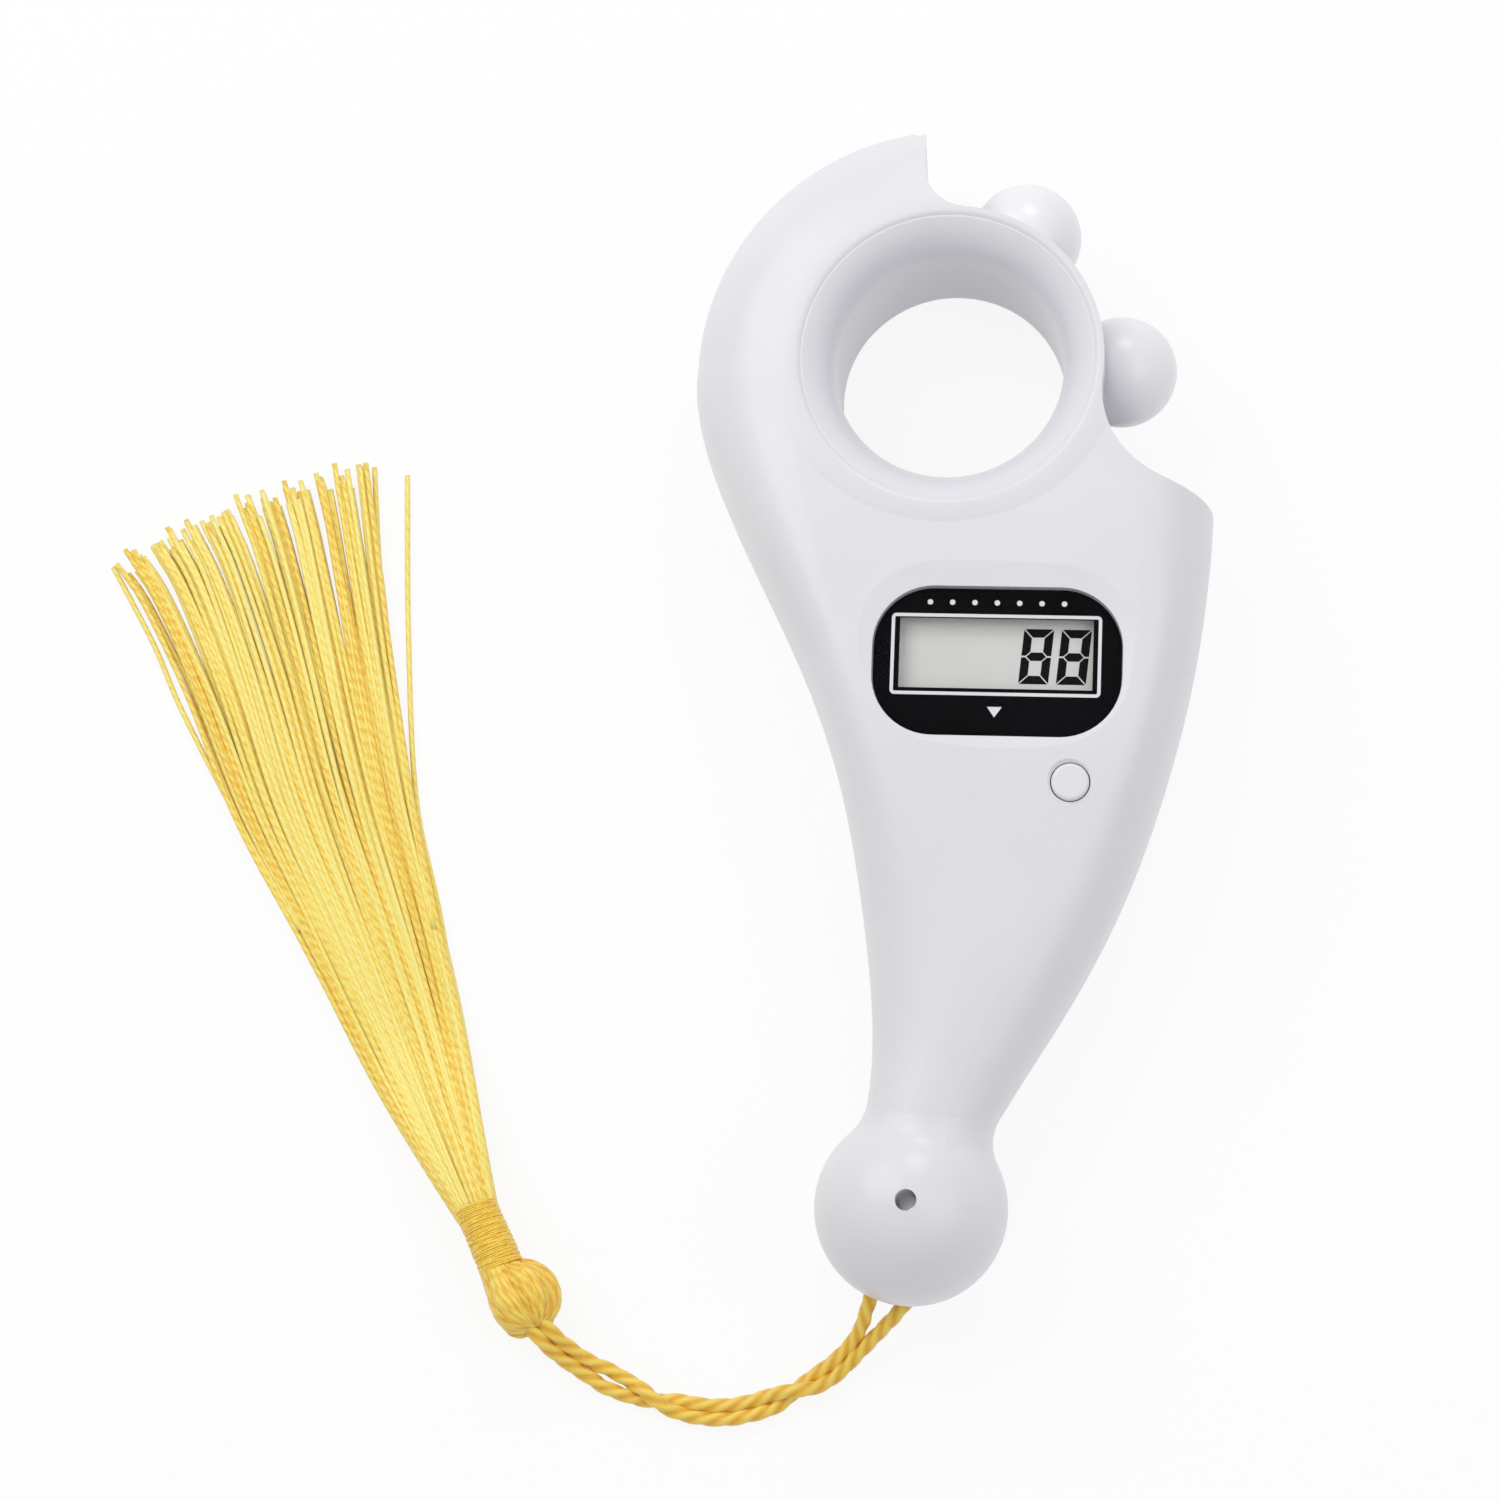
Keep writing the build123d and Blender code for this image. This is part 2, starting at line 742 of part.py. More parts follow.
def battery_cover():
    cover = disc(cell_x, cell_y, cover_radius, cover_recess, rear_inner_z)
    high = lug_z + lug_height
    cover += disc(cell_x, cell_y, cover_radius - cover_hub_inset, rear_inner_z, high)
    for number in range(lug_count):
        angle = number * 360 / lug_count
        cover += sector(cell_x, cell_y, cover_radius / 2, lug_radius, angle, lug_angle, lug_z, high)
    slot = Pos(cell_x, cell_y, cover_recess) * SlotOverall(coin_slot_length, coin_slot_width)
    return cover - extrude(slot, coin_slot_depth)


def bent_strip(points, thickness):
    return trace(Polyline(*points), thickness)


def battery_spring():
    high = board_bottom_z - spring_strip / 2
    low = cell_top_z + spring_strip / 2 + small_fit_gap
    points = [(-spring_reach, high), (-spring_bend, high), (spring_bend, low), (spring_reach, low)]
    shape = bent_strip(points, spring_strip)
    strip = extrude(Plane.XZ * shape, spring_width / 2, both=True)
    return Pos(cell_x, cell_y, 0) * strip


def battery_clip():
    x = cell_radius + small_fit_gap + spring_strip / 2
    high = board_bottom_z - spring_strip / 2
    shape = bent_strip([(x, socket_top_z + clip_foot), (x, high), (x + clip_reach, high)], spring_strip)
    strip = extrude(Plane.XZ * shape, clip_width / 2, both=True)
    return Pos(cell_x, cell_y, 0) * strip


def leaf_points():
    nose = bead_orbit + bead_radius + leaf_nose_gap + leaf_strip / 2
    free_end = (nose + leaf_rise, -leaf_half_span)
    shoulder = (nose + leaf_rise, leaf_half_span)
    return [free_end, (nose, 0), shoulder, (nose + leaf_tail_rise, leaf_tail)]


def count_leaf():
    points = leaf_points()
    path = FilletPolyline(*points, radius=leaf_bend)
    strip = extrude(trace(path, leaf_strip), leaf_height / 2, both=True)
    end = points[-1]
    foot_height = board_bottom_z - parting_z + leaf_height / 2
    foot_place = Pos(end[0], end[1], (foot_height - leaf_height) / 2)
    foot = foot_place * Box(leaf_foot_side, leaf_foot_side, foot_height)
    return leaf_frame() * (Pos(0, 0, parting_z) * (strip + foot))


def count_post():
    free_end = leaf_points()[0]
    place = free_end[0] + leaf_strip / 2 + post_gap + post_radius
    return leaf_frame() * disc(place, free_end[1], post_radius, board_bottom_z - post_depth, board_bottom_z)


def screw(x, y, head_z, shank_radius, head_radius_here, head_height, length):
    low = head_z - head_height
    body = disc(x, y, head_radius_here, low, head_z)
    body += disc(x, y, shank_radius, head_z, head_z + length)
    for turn in (0, 90):
        arm = Box(2 * head_radius_here * driver_slot_share, driver_slot_width, 2 * driver_slot_depth)
        body -= Pos(x, y, low) * Rot(0, 0, turn) * arm
    return body


def housing_screws():
    head = (housing_head_radius, housing_head_height)
    sizes = (housing_seat_z, housing_screw_radius, *head, housing_screw_length)
    return [screw(x, y, *sizes) for x, y in housing_screw_places]


def board_screws():
    head = (board_head_radius, board_head_height)
    sizes = (board_bottom_z, board_screw_radius, *head, board_screw_length)
    return [screw(x, y, *sizes) for x, y in board_screw_places]


def from_tail(points):
    return [Vector(tail_x + across, tail_y + along, up) for across, along, up in points]


def pair_side(side):
    route = from_tail(cord_pair_route)
    points = []
    for number, point in enumerate(route):
        before = route[max(number - 1, 0)]
        after = route[min(number + 1, len(route) - 1)]
        along = (after - before).normalized()
        across = Vector(-along.Y, along.X, 0).normalized()
        points.append(point + across * (side * cord_pair_spacing / 2))
    return points


def cord_route():
    reach = tail_tube_radius + cord_radius + cord_post_gap
    turn_y = tail_y + reach
    over = [Vector(tail_x - reach, turn_y, cord_slot_z), Vector(tail_x + reach, turn_y, cord_slot_z)]
    left = pair_side(1) + from_tail(cord_left_leg)
    right = pair_side(-1) + from_tail(cord_right_leg)
    return left + over + right[::-1]


def bend_radii(points):
    radii = []
    for before, corner, after in zip(points, points[1:], points[2:]):
        first = corner - before
        second = after - corner
        half_turn = math.radians(first.get_angle(second)) / 2
        radii.append(cord_bend_share * min(first.length, second.length) / math.tan(half_turn))
    return radii


def lanyard_cord():
    points = cord_route()
    radii = bend_radii(points)
    path = FilletPolyline(*points, radius=radii)
    start = Plane(origin=path @ 0, z_dir=path % 0)
    tube = sweep(start * Circle(cord_radius), path)
    expected = math.pi * cord_radius ** 2 * path.length
    print("cord length", round(path.length, 2), "volume share", round(tube.volume / expected, 4))
    print("cord bend radii", [round(radius, 2) for radius in radii])
    return tube


def tassel_frame():
    angle = math.radians(tassel_angle)
    along = Vector(math.cos(angle), math.sin(angle), 0)
    left = Vector(-math.sin(angle), math.cos(angle), 0)
    place = Vector(tail_x + tassel_head_across, tail_y + tassel_head_along, tassel_head_radius)
    return Plane(origin=place, x_dir=left, z_dir=along)


def tassel_head():
    half = tassel_head_length / 2
    outline = EllipticalCenterArc((0, 0), tassel_head_radius, half, start_angle=-90, arc_size=180)
    knob = revolve(Plane.XZ * make_face([outline, Line((0, half), (0, -half))]), Axis.Z)
    neck = disc(0, 0, tassel_neck_radius, 0, skirt_start)
    return tassel_frame() * (knob + neck)


def biarc(start, start_way, end, end_way):
    span = end - start
    both = start_way + end_way
    a = 2 * (1 - start_way.dot(end_way))
    b = 2 * span.dot(both)
    c = -span.dot(span)
    reach = (-b + math.sqrt(b * b - 4 * a * c)) / (2 * a)
    joint = (start + end + (start_way - end_way) * reach) * 0.5
    first = TangentArc(start, joint, tangent=start_way)
    second = TangentArc(joint, end, tangent=first % 1)
    return [first, second]


def binding_points():
    radius = tassel_neck_radius + binding_seat_gap + binding_thread_radius
    step = math.pi / 2
    climb = binding_pitch / (2 * math.pi)
    places = []
    for number in range(4 * binding_turns + 1):
        turn = number * step
        place = Vector(radius * math.cos(turn), radius * math.sin(turn), binding_start + climb * turn)
        way = Vector(-radius * math.sin(turn), radius * math.cos(turn), climb).normalized()
        places.append((place, way))
    return places


def least_gap(path):
    count = 48 * binding_turns
    apart = count // binding_turns // 2
    points = [path @ (number / count) for number in range(count + 1)]
    gaps = [
        (points[one] - points[two]).length
        for one in range(count + 1)
        for two in range(one + apart, count + 1)
    ]
    return min(gaps) - 2 * binding_thread_radius


def tassel_binding():
    places = binding_points()
    arcs = []
    for (start, start_way), (end, end_way) in zip(places, places[1:]):
        arcs += biarc(start, start_way, end, end_way)
    lead = 2 * binding_thread_radius
    first = places[0][0] - places[0][1] * lead
    last = places[-1][0] + places[-1][1] * lead
    pieces = [Line(first, places[0][0])] + arcs + [Line(places[-1][0], last)]
    path = Wire([piece.edge() for piece in pieces])
    print("binding least gap", round(least_gap(path), 3))
    thread = sweep(Plane(origin=path @ 0, z_dir=path % 0) * Circle(binding_thread_radius), path)
    return tassel_frame() * thread


def tassel_skirt():
    frame = tassel_frame()
    sections = []
    for distance, shift, width, height, middle in skirt_sections:
        outline = RectangleRounded(width, height, skirt_roundness * height)
        sections.append(frame * (Pos(shift, middle - tassel_head_radius, distance) * outline))
    return loft(sections) & block(0, 0, 4 * far, 4 * far, 0, far)


def build_parts():
    body = housing()
    return {
        "front_shell": front_shell(body),
        "rear_shell": rear_shell(body),
        "bead_wheel": bead_wheel(),
        "display_lens": display_lens(),
        "lens_mask": lens_mask(),
        "lcd_panel": lcd_panel(),
        "lcd_holder": lcd_holder(),
        "contact_strips": contact_strips(),
        "circuit_board": circuit_board(),
        "controller_blob": controller_blob(),
        "board_resistors": board_resistors(),
        "reset_button": reset_button(),
        "reset_switch": reset_switch(),
        "reset_plunger": reset_plunger(),
        "battery_cell": battery_cell(),
        "battery_cover": battery_cover(),
        "battery_spring": battery_spring(),
        "battery_clip": battery_clip(),
        "count_leaf": count_leaf(),
        "count_post": count_post(),
        "housing_screws": housing_screws(),
        "board_screws": board_screws(),
        "lanyard_cord": lanyard_cord(),
        "tassel_head": tassel_head(),
        "tassel_binding": tassel_binding(),
        "tassel_skirt": tassel_skirt(),
    }


def as_compound(shape):
    if isinstance(shape, list):
        solids = [solid for piece in shape for solid in piece.solids()]
    else:
        solids = shape.solids()
    return solids[0] if len(solids) == 1 else Compound(solids)


def main():
    parts = {name: as_compound(shape) for name, shape in build_parts().items()}
    box = Compound([parts["front_shell"], parts["rear_shell"]]).bounding_box()
    shift = Pos(-(box.min.X + box.max.X) / 2, -(box.min.Y + box.max.Y) / 2, 0)
    print("ring axis at", -(box.min.X + box.max.X) / 2, -(box.min.Y + box.max.Y) / 2)
    os.makedirs("parts", exist_ok=True)
    for name, shape in parts.items():
        export_step(shift * shape, f"parts/{name}.step")


main()
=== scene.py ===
import bpy
import json
import math
import random
from mathutils import Matrix, Vector


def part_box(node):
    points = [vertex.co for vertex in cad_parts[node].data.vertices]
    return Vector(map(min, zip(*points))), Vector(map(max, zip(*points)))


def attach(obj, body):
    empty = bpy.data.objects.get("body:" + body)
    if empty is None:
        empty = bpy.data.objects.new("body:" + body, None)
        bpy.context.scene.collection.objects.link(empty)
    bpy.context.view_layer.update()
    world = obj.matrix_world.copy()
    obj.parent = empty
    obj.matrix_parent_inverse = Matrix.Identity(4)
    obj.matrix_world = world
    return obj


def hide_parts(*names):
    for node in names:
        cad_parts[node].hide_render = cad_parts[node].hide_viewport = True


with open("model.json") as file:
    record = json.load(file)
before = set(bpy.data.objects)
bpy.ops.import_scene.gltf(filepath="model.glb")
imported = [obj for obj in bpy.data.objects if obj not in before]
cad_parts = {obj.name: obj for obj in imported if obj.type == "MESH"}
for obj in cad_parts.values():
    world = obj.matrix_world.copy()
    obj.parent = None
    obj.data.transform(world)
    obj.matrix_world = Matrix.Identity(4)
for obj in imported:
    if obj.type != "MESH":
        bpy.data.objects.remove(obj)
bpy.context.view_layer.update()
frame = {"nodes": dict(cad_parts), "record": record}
nodes = frame["nodes"]
scene = bpy.context.scene
scene.view_settings.view_transform = "Standard"
mm = 0.001  # lengths in the dictionaries are millimetres
print("frame loaded:", len(nodes), "CAD nodes")


cameraView = {
    "place": (21.36, -82.85, 400.2),
    "back": (0.10, -0.196, 0.9755),  # the way from the object to the camera
    "roll": 1.2,         # degrees
    "lens": 99.84,       # mm
    "sensor": 36,        # mm
    "clip": (0.01, 20),  # metres
}


def addCamera(view):
    back = Vector(view["back"]).normalized()
    right = (Vector((1, 0, 0)) - back * back.x).normalized()
    up = back.cross(right)
    turn = math.radians(view["roll"])
    sideways = right * math.cos(turn) + up * math.sin(turn)
    upright = up * math.cos(turn) - right * math.sin(turn)
    data = bpy.data.cameras.new("photoCamera")
    data.lens = view["lens"]
    data.sensor_width = view["sensor"]
    data.clip_start, data.clip_end = view["clip"]
    camera = bpy.data.objects.new("photoCamera", data)
    columns = Matrix((sideways, upright, back)).transposed().to_4x4()
    camera.matrix_world = Matrix.Translation(Vector(view["place"]) * mm) @ columns
    scene.collection.objects.link(camera)
    scene.camera = camera


addCamera(cameraView)
print("camera set")


def newFinish(name):
    finish = bpy.data.materials.new(name)
    finish.use_nodes = True
    tree = finish.node_tree
    return finish, tree, tree.nodes["Principled BSDF"]


def addNode(tree, kind, **values):
    node = tree.nodes.new(kind)
    for key, value in values.items():
        if key in node.inputs:
            node.inputs[key].default_value = value
        else:
            setattr(node, key, value)
    return node


studio = {
    "worldColour": (0.97, 0.98, 1.0, 1),
    "worldStrength": 0.56,
    "floorColour": (0.93, 0.93, 0.93, 1),
    "floorRoughness": 0.9,
    "floorSpecular": 0.1,
    "floorGlow": 0.88,  # share of the floor seen as plain white
    "floorSize": 3.0,   # metres
    # place, target and size in mm, power in watts
    "lamps": [
        ("keyLamp", (-300, 210, 430), (-10, 0, 5), 420, 1.05),
        ("fillLamp", (330, -60, 420), (0, 0, 5), 420, 0.42),
        ("topLamp", (60, 380, 340), (0, 20, 10), 180, 0.4),
    ],
}


def addLamp(name, place, target, size, power):
    data = bpy.data.lights.new(name, "AREA")
    data.shape = "DISK"
    data.size = size * mm
    data.energy = power
    lamp = bpy.data.objects.new(name, data)
    lamp.location = Vector(place) * mm
    aim = Vector(target) - Vector(place)
    lamp.rotation_euler = aim.to_track_quat("-Z", "Y").to_euler()
    scene.collection.objects.link(lamp)


def paleFloor(room):
    paper, tree, shader = newFinish("paleFloor")
    shader.inputs["Base Color"].default_value = room["floorColour"]
    shader.inputs["Roughness"].default_value = room["floorRoughness"]
    shader.inputs["Specular IOR Level"].default_value = room["floorSpecular"]
    ray = addNode(tree, "ShaderNodeLightPath")
    seen = ray.outputs["Is Camera Ray"]
    for kind in ("Is Glossy Ray", "Is Transmission Ray"):
        either = addNode(tree, "ShaderNodeMath", operation="MAXIMUM")
        tree.links.new(seen, either.inputs[0])
        tree.links.new(ray.outputs[kind], either.inputs[1])
        seen = either.outputs[0]
    share = addNode(tree, "ShaderNodeMath", operation="MULTIPLY")
    share.inputs[1].default_value = room["floorGlow"]
    tree.links.new(seen, share.inputs[0])
    glow = addNode(tree, "ShaderNodeEmission")
    mix = addNode(tree, "ShaderNodeMixShader")
    tree.links.new(share.outputs[0], mix.inputs["Fac"])
    tree.links.new(shader.outputs["BSDF"], mix.inputs[1])
    tree.links.new(glow.outputs["Emission"], mix.inputs[2])
    tree.links.new(mix.outputs["Shader"], tree.nodes["Material Output"].inputs["Surface"])
    return paper


def addStudio(room):
    world = bpy.data.worlds.new("studioWorld")
    scene.world = world
    world.use_nodes = True
    sky = world.node_tree.nodes["Background"]
    sky.inputs["Color"].default_value = room["worldColour"]
    sky.inputs["Strength"].default_value = room["worldStrength"]
    for lamp in room["lamps"]:
        addLamp(*lamp)
    half = room["floorSize"] / 2
    mesh = bpy.data.meshes.new("floor")
    corners = [(-half, -half, 0), (half, -half, 0), (half, half, 0), (-half, half, 0)]
    mesh.from_pydata(corners, [], [(0, 1, 2, 3)])
    floor = bpy.data.objects.new("floor", mesh)
    scene.collection.objects.link(floor)
    mesh.materials.append(paleFloor(room))


addStudio(studio)
print("studio set")


def speckle(tree, scale, detail=4.0):
    place = addNode(tree, "ShaderNodeTexCoord")
    noise = addNode(tree, "ShaderNodeTexNoise", Scale=scale, Detail=detail)
    tree.links.new(place.outputs["Object"], noise.inputs["Vector"])
    return noise.outputs["Fac"]


def tint(tree, shader, factor, dark, light, low=0.35, high=0.65):
    ramp = addNode(tree, "ShaderNodeValToRGB")
    ramp.color_ramp.elements[0].position = low
    ramp.color_ramp.elements[0].color = (*dark, 1)
    ramp.color_ramp.elements[1].position = high
    ramp.color_ramp.elements[1].color = (*light, 1)
    tree.links.new(factor, ramp.inputs["Fac"])
    tree.links.new(ramp.outputs["Color"], shader.inputs["Base Color"])


def roughen(tree, shader, factor, low, high):
    span = addNode(tree, "ShaderNodeMapRange")
    span.inputs["To Min"].default_value = low
    span.inputs["To Max"].default_value = high
    tree.links.new(factor, span.inputs["Value"])
    tree.links.new(span.outputs["Result"], shader.inputs["Roughness"])


def emboss(tree, shader, factor, strength, distance):
    bump = addNode(tree, "ShaderNodeBump", Strength=strength, Distance=distance)
    tree.links.new(factor, bump.inputs["Height"])
    tree.links.new(bump.outputs["Normal"], shader.inputs["Normal"])


plastic = {
    "mottle": 60,            # noise scales, to the metre
    "glossPatch": 160,
    "grain": 900,
    "grainHeight": 0.00002,  # metres
    "coatRoughness": 0.22,
}
metal = {
    "brush": 1400,
    "glossPatch": 500,
}
clear = {
    "mottle": 40,
    "glossPatch": 300,
    "shade": 0.97,           # its darker tone as a share of the lighter
    "rough": (0.02, 0.05),
    "specular": 0.3,
}


def mouldedGloss(name, dark, light, rough, coat=0.0, grain=0.0, specular=0.35):
    finish, tree, shader = newFinish(name)
    tint(tree, shader, speckle(tree, plastic["mottle"]), dark, light)
    roughen(tree, shader, speckle(tree, plastic["glossPatch"], detail=2.0), *rough)
    if grain:
        emboss(tree, shader, speckle(tree, plastic["grain"], detail=2.0), grain, plastic["grainHeight"])
    shader.inputs["Coat Weight"].default_value = coat
    shader.inputs["Coat Roughness"].default_value = plastic["coatRoughness"]
    shader.inputs["Specular IOR Level"].default_value = specular
    return finish


def metalFinish(name, dark, light, rough):
    finish, tree, shader = newFinish(name)
    tint(tree, shader, speckle(tree, metal["brush"]), dark, light)
    roughen(tree, shader, speckle(tree, metal["glossPatch"]), *rough)
    shader.inputs["Metallic"].default_value = 1.0
    return finish


def clearFinish(name, light, alpha):
    finish, tree, shader = newFinish(name)
    dark = tuple(clear["shade"] * c for c in light)
    tint(tree, shader, speckle(tree, clear["mottle"]), dark, light)
    roughen(tree, shader, speckle(tree, clear["glossPatch"]), *clear["rough"])
    shader.inputs["Alpha"].default_value = alpha
    shader.inputs["Specular IOR Level"].default_value = clear["specular"]
    return finish


# dark and light tone, then the range of roughness
finishes = {
    "shell_white": mouldedGloss(
        "shellWhite", (0.765, 0.752, 0.787), (0.79, 0.777, 0.812), (0.38, 0.44), coat=0.3),
    "bead_white": mouldedGloss(
        "beadWhite", (0.845, 0.832, 0.865), (0.87, 0.857, 0.89), (0.34, 0.4), coat=0.4),
    "button_white": mouldedGloss(
        "buttonWhite", (0.775, 0.763, 0.793), (0.8, 0.788, 0.818), (0.38, 0.45), coat=0.3),
    "lens_clear": clearFinish("lensClear", (0.05, 0.052, 0.056), alpha=0.02),
    "mask_black": mouldedGloss(
        "maskBlack", (0.002, 0.002, 0.0025), (0.004, 0.004, 0.005), (0.16, 0.24), specular=0.04),
    "panel_glass": mouldedGloss(
        "panelGlass", (0.7, 0.7, 0.672), (0.725, 0.725, 0.697), (0.4, 0.5), specular=0.2),
    "holder_white": mouldedGloss(
        "holderWhite", (0.6, 0.6, 0.58), (0.66, 0.66, 0.64), (0.5, 0.6)),
    "strip_rubber": mouldedGloss(
        "stripRubber", (0.04, 0.042, 0.048), (0.07, 0.072, 0.08), (0.6, 0.75), grain=0.2),
    "board_green": mouldedGloss(
        "boardGreen", (0.01, 0.1, 0.03), (0.02, 0.16, 0.05), (0.3, 0.45), coat=0.2, grain=0.04),
    "blob_black": mouldedGloss(
        "blobBlack", (0.006, 0.006, 0.007), (0.015, 0.015, 0.016), (0.15, 0.3), coat=0.3, grain=0.04),
    "chip_black": mouldedGloss(
        "chipBlack", (0.01, 0.01, 0.01), (0.03, 0.03, 0.03), (0.5, 0.65), grain=0.04),
    "switch_black": mouldedGloss(
        "switchBlack", (0.012, 0.012, 0.014), (0.03, 0.03, 0.033), (0.45, 0.6), grain=0.04),
    "cell_steel": metalFinish("cellSteel", (0.5, 0.5, 0.52), (0.62, 0.62, 0.63), (0.2, 0.35)),
    "contact_metal": metalFinish("contactMetal", (0.6, 0.5, 0.28), (0.72, 0.62, 0.38), (0.22, 0.35)),
    "screw_steel": metalFinish("screwSteel", (0.45, 0.45, 0.47), (0.58, 0.58, 0.6), (0.25, 0.4)),
}

slotOf = {row["node"]: row["material_slot"] for row in frame["record"]["subparts"]}
for nodeName, slotName in slotOf.items():
    if slotName in finishes:
        mesh = nodes[nodeName].data
        mesh.materials.clear()
        mesh.materials.append(finishes[slotName])
print("finishes given to the CAD nodes")


yarn = {
    # each palette goes from shade to light: painted shade in the grooves between the plies and painted
    # highlight on their crests, mixed with the fibres and each strand's own tone
    "loose": {"shade": (0.91, 0.56, 0.06), "middle": (0.985, 0.76, 0.15), "light": (0.995, 0.88, 0.28)},
    "wound": {"shade": (0.8, 0.42, 0.03), "middle": (0.91, 0.58, 0.068), "light": (0.98, 0.75, 0.135)},
    "bound": {"shade": (0.86, 0.46, 0.03), "middle": (0.96, 0.61, 0.06), "light": (0.99, 0.78, 0.13)},
    "stops": (0.1, 0.38, 0.8),  # where shade, middle and light stand on the ramp
    "toneSpread": 0.6,          # how far strands differ, from shade to light
    "fluff": 2200,              # noise scale of the fine fibres, to the metre
    "height": 0.00015,          # metres
    "roughness": 0.36,
    "specular": 0.5,
    "sheen": 0.3,
    "sheenRoughness": 0.4,
}


def layWave(tree, plies, pitch):
    # a wave across the plies, which make one turn for each pitch in mm
    lay = addNode(tree, "ShaderNodeUVMap", uv_map="lay")
    split = addNode(tree, "ShaderNodeSeparateXYZ")
    tree.links.new(lay.outputs["UV"], split.inputs["Vector"])
    turns = addNode(tree, "ShaderNodeMath", operation="MULTIPLY")
    turns.inputs[1].default_value = -plies / (pitch * mm)
    tree.links.new(split.outputs["Y"], turns.inputs[0])
    around = addNode(tree, "ShaderNodeMath", operation="MULTIPLY_ADD")
    around.inputs[1].default_value = plies
    tree.links.new(split.outputs["X"], around.inputs[0])
    tree.links.new(turns.outputs[0], around.inputs[2])
    angle = addNode(tree, "ShaderNodeMath", operation="MULTIPLY")
    angle.inputs[1].default_value = 2 * math.pi
    tree.links.new(around.outputs[0], angle.inputs[0])
    wave = addNode(tree, "ShaderNodeMath", operation="COSINE")
    tree.links.new(angle.outputs[0], wave.inputs[0])
    groove = addNode(tree, "ShaderNodeMapRange")
    groove.inputs["From Min"].default_value = -1.0
    tree.links.new(wave.outputs[0], groove.inputs["Value"])
    return groove.outputs["Result"]


def yarnFinish(name, colours, plies, pitch, contrast, depth, fibres=0):
    # painted shade in the grooves between the plies and painted highlight on their crests, with fine
    # fibres over them; the same wave also bumps the surface
    finish, tree, shader = newFinish(name)
    fluff = speckle(tree, yarn["fluff"], detail=3.0)
    if fibres:
        both = addNode(tree, "ShaderNodeMath", operation="MULTIPLY")
        tree.links.new(fluff, both.inputs[0])
        tree.links.new(layWave(tree, fibres, pitch), both.inputs[1])
        fluff = both.outputs[0]
    fine = addNode(tree, "ShaderNodeMath", operation="MULTIPLY")
    fine.inputs[1].default_value = 1 - contrast
    tree.links.new(fluff, fine.inputs[0])
    height = addNode(tree, "ShaderNodeMath", operation="MULTIPLY_ADD")
    height.inputs[1].default_value = contrast
    tree.links.new(layWave(tree, plies, pitch), height.inputs[0])
    tree.links.new(fine.outputs[0], height.inputs[2])
    tone = addNode(tree, "ShaderNodeAttribute", attribute_name="tone")
    toned = addNode(tree, "ShaderNodeMath", operation="MULTIPLY_ADD")
    toned.inputs[1].default_value = yarn["toneSpread"]
    tree.links.new(tone.outputs["Fac"], toned.inputs[0])
    tree.links.new(height.outputs[0], toned.inputs[2])
    # the ramp turns the ply wave into painted shade and painted highlight, and the fibres and strand tone
    # into the yarn's own tones
    ramp = addNode(tree, "ShaderNodeValToRGB")
    stops = ramp.color_ramp.elements
    stops[0].position, middle, stops[1].position = yarn["stops"]
    stops[0].color = (*colours["shade"], 1)
    stops[1].color = (*colours["light"], 1)
    stops.new(middle).color = (*colours["middle"], 1)
    tree.links.new(toned.outputs[0], ramp.inputs["Fac"])
    tree.links.new(ramp.outputs["Color"], shader.inputs["Base Color"])
    emboss(tree, shader, height.outputs[0], depth, yarn["height"])
    shader.inputs["Roughness"].default_value = yarn["roughness"]
    shader.inputs["Sheen Weight"].default_value = yarn["sheen"]
    shader.inputs["Sheen Roughness"].default_value = yarn["sheenRoughness"]
    shader.inputs["Specular IOR Level"].default_value = yarn["specular"]
    return finish


# pitch in mm, laid to the left; contrast is how much the painted groove shade and crest highlight count in
# the tone
strandYarn = yarnFinish("strandYarn", yarn["loose"], plies=2, pitch=-2.6, contrast=0.32, depth=0.3)
headYarn = yarnFinish("headYarn", yarn["wound"], plies=2, pitch=-4.0, contrast=0.45, depth=0.3)
threadYarn = yarnFinish("threadYarn", yarn["bound"], plies=2, pitch=-1.6, contrast=0.3, depth=0.25)
cordYarn = yarnFinish("cordYarn", yarn["wound"], plies=3, pitch=-6.4, contrast=0.55, depth=0.35, fibres=21)
print("yarns made")


def evenPoints(points, step):
    lengths = [0.0]
    for a, b in zip(points, points[1:]):
        lengths.append(lengths[-1] + (b - a).length)
    count = max(int(round(lengths[-1] / step)), 4)
    even, k = [], 0
    for number in range(count + 1):
        want = lengths[-1] * number / count
        while k < len(points) - 2 and lengths[k + 1] < want:
            k += 1
        share = (want - lengths[k]) / max(lengths[k + 1] - lengths[k], 1e-12)
        even.append(points[k].lerp(points[k + 1], share))
    return even


def throughCurve(points, each):
    # smooth line through given points
    line = []
    ends = [points[0] * 2 - points[1], *points, points[-1] * 2 - points[-2]]
    for a, b, c, d in zip(ends, ends[1:], ends[2:], ends[3:]):
        for number in range(each):
            t = number / each
            line.append(0.5 * ((2 * b) + (c - a) * t + (2 * a - 5 * b + 4 * c - d) * t * t
                               + (3 * b - a - 3 * c + d) * t * t * t))
    return line + [points[-1]]


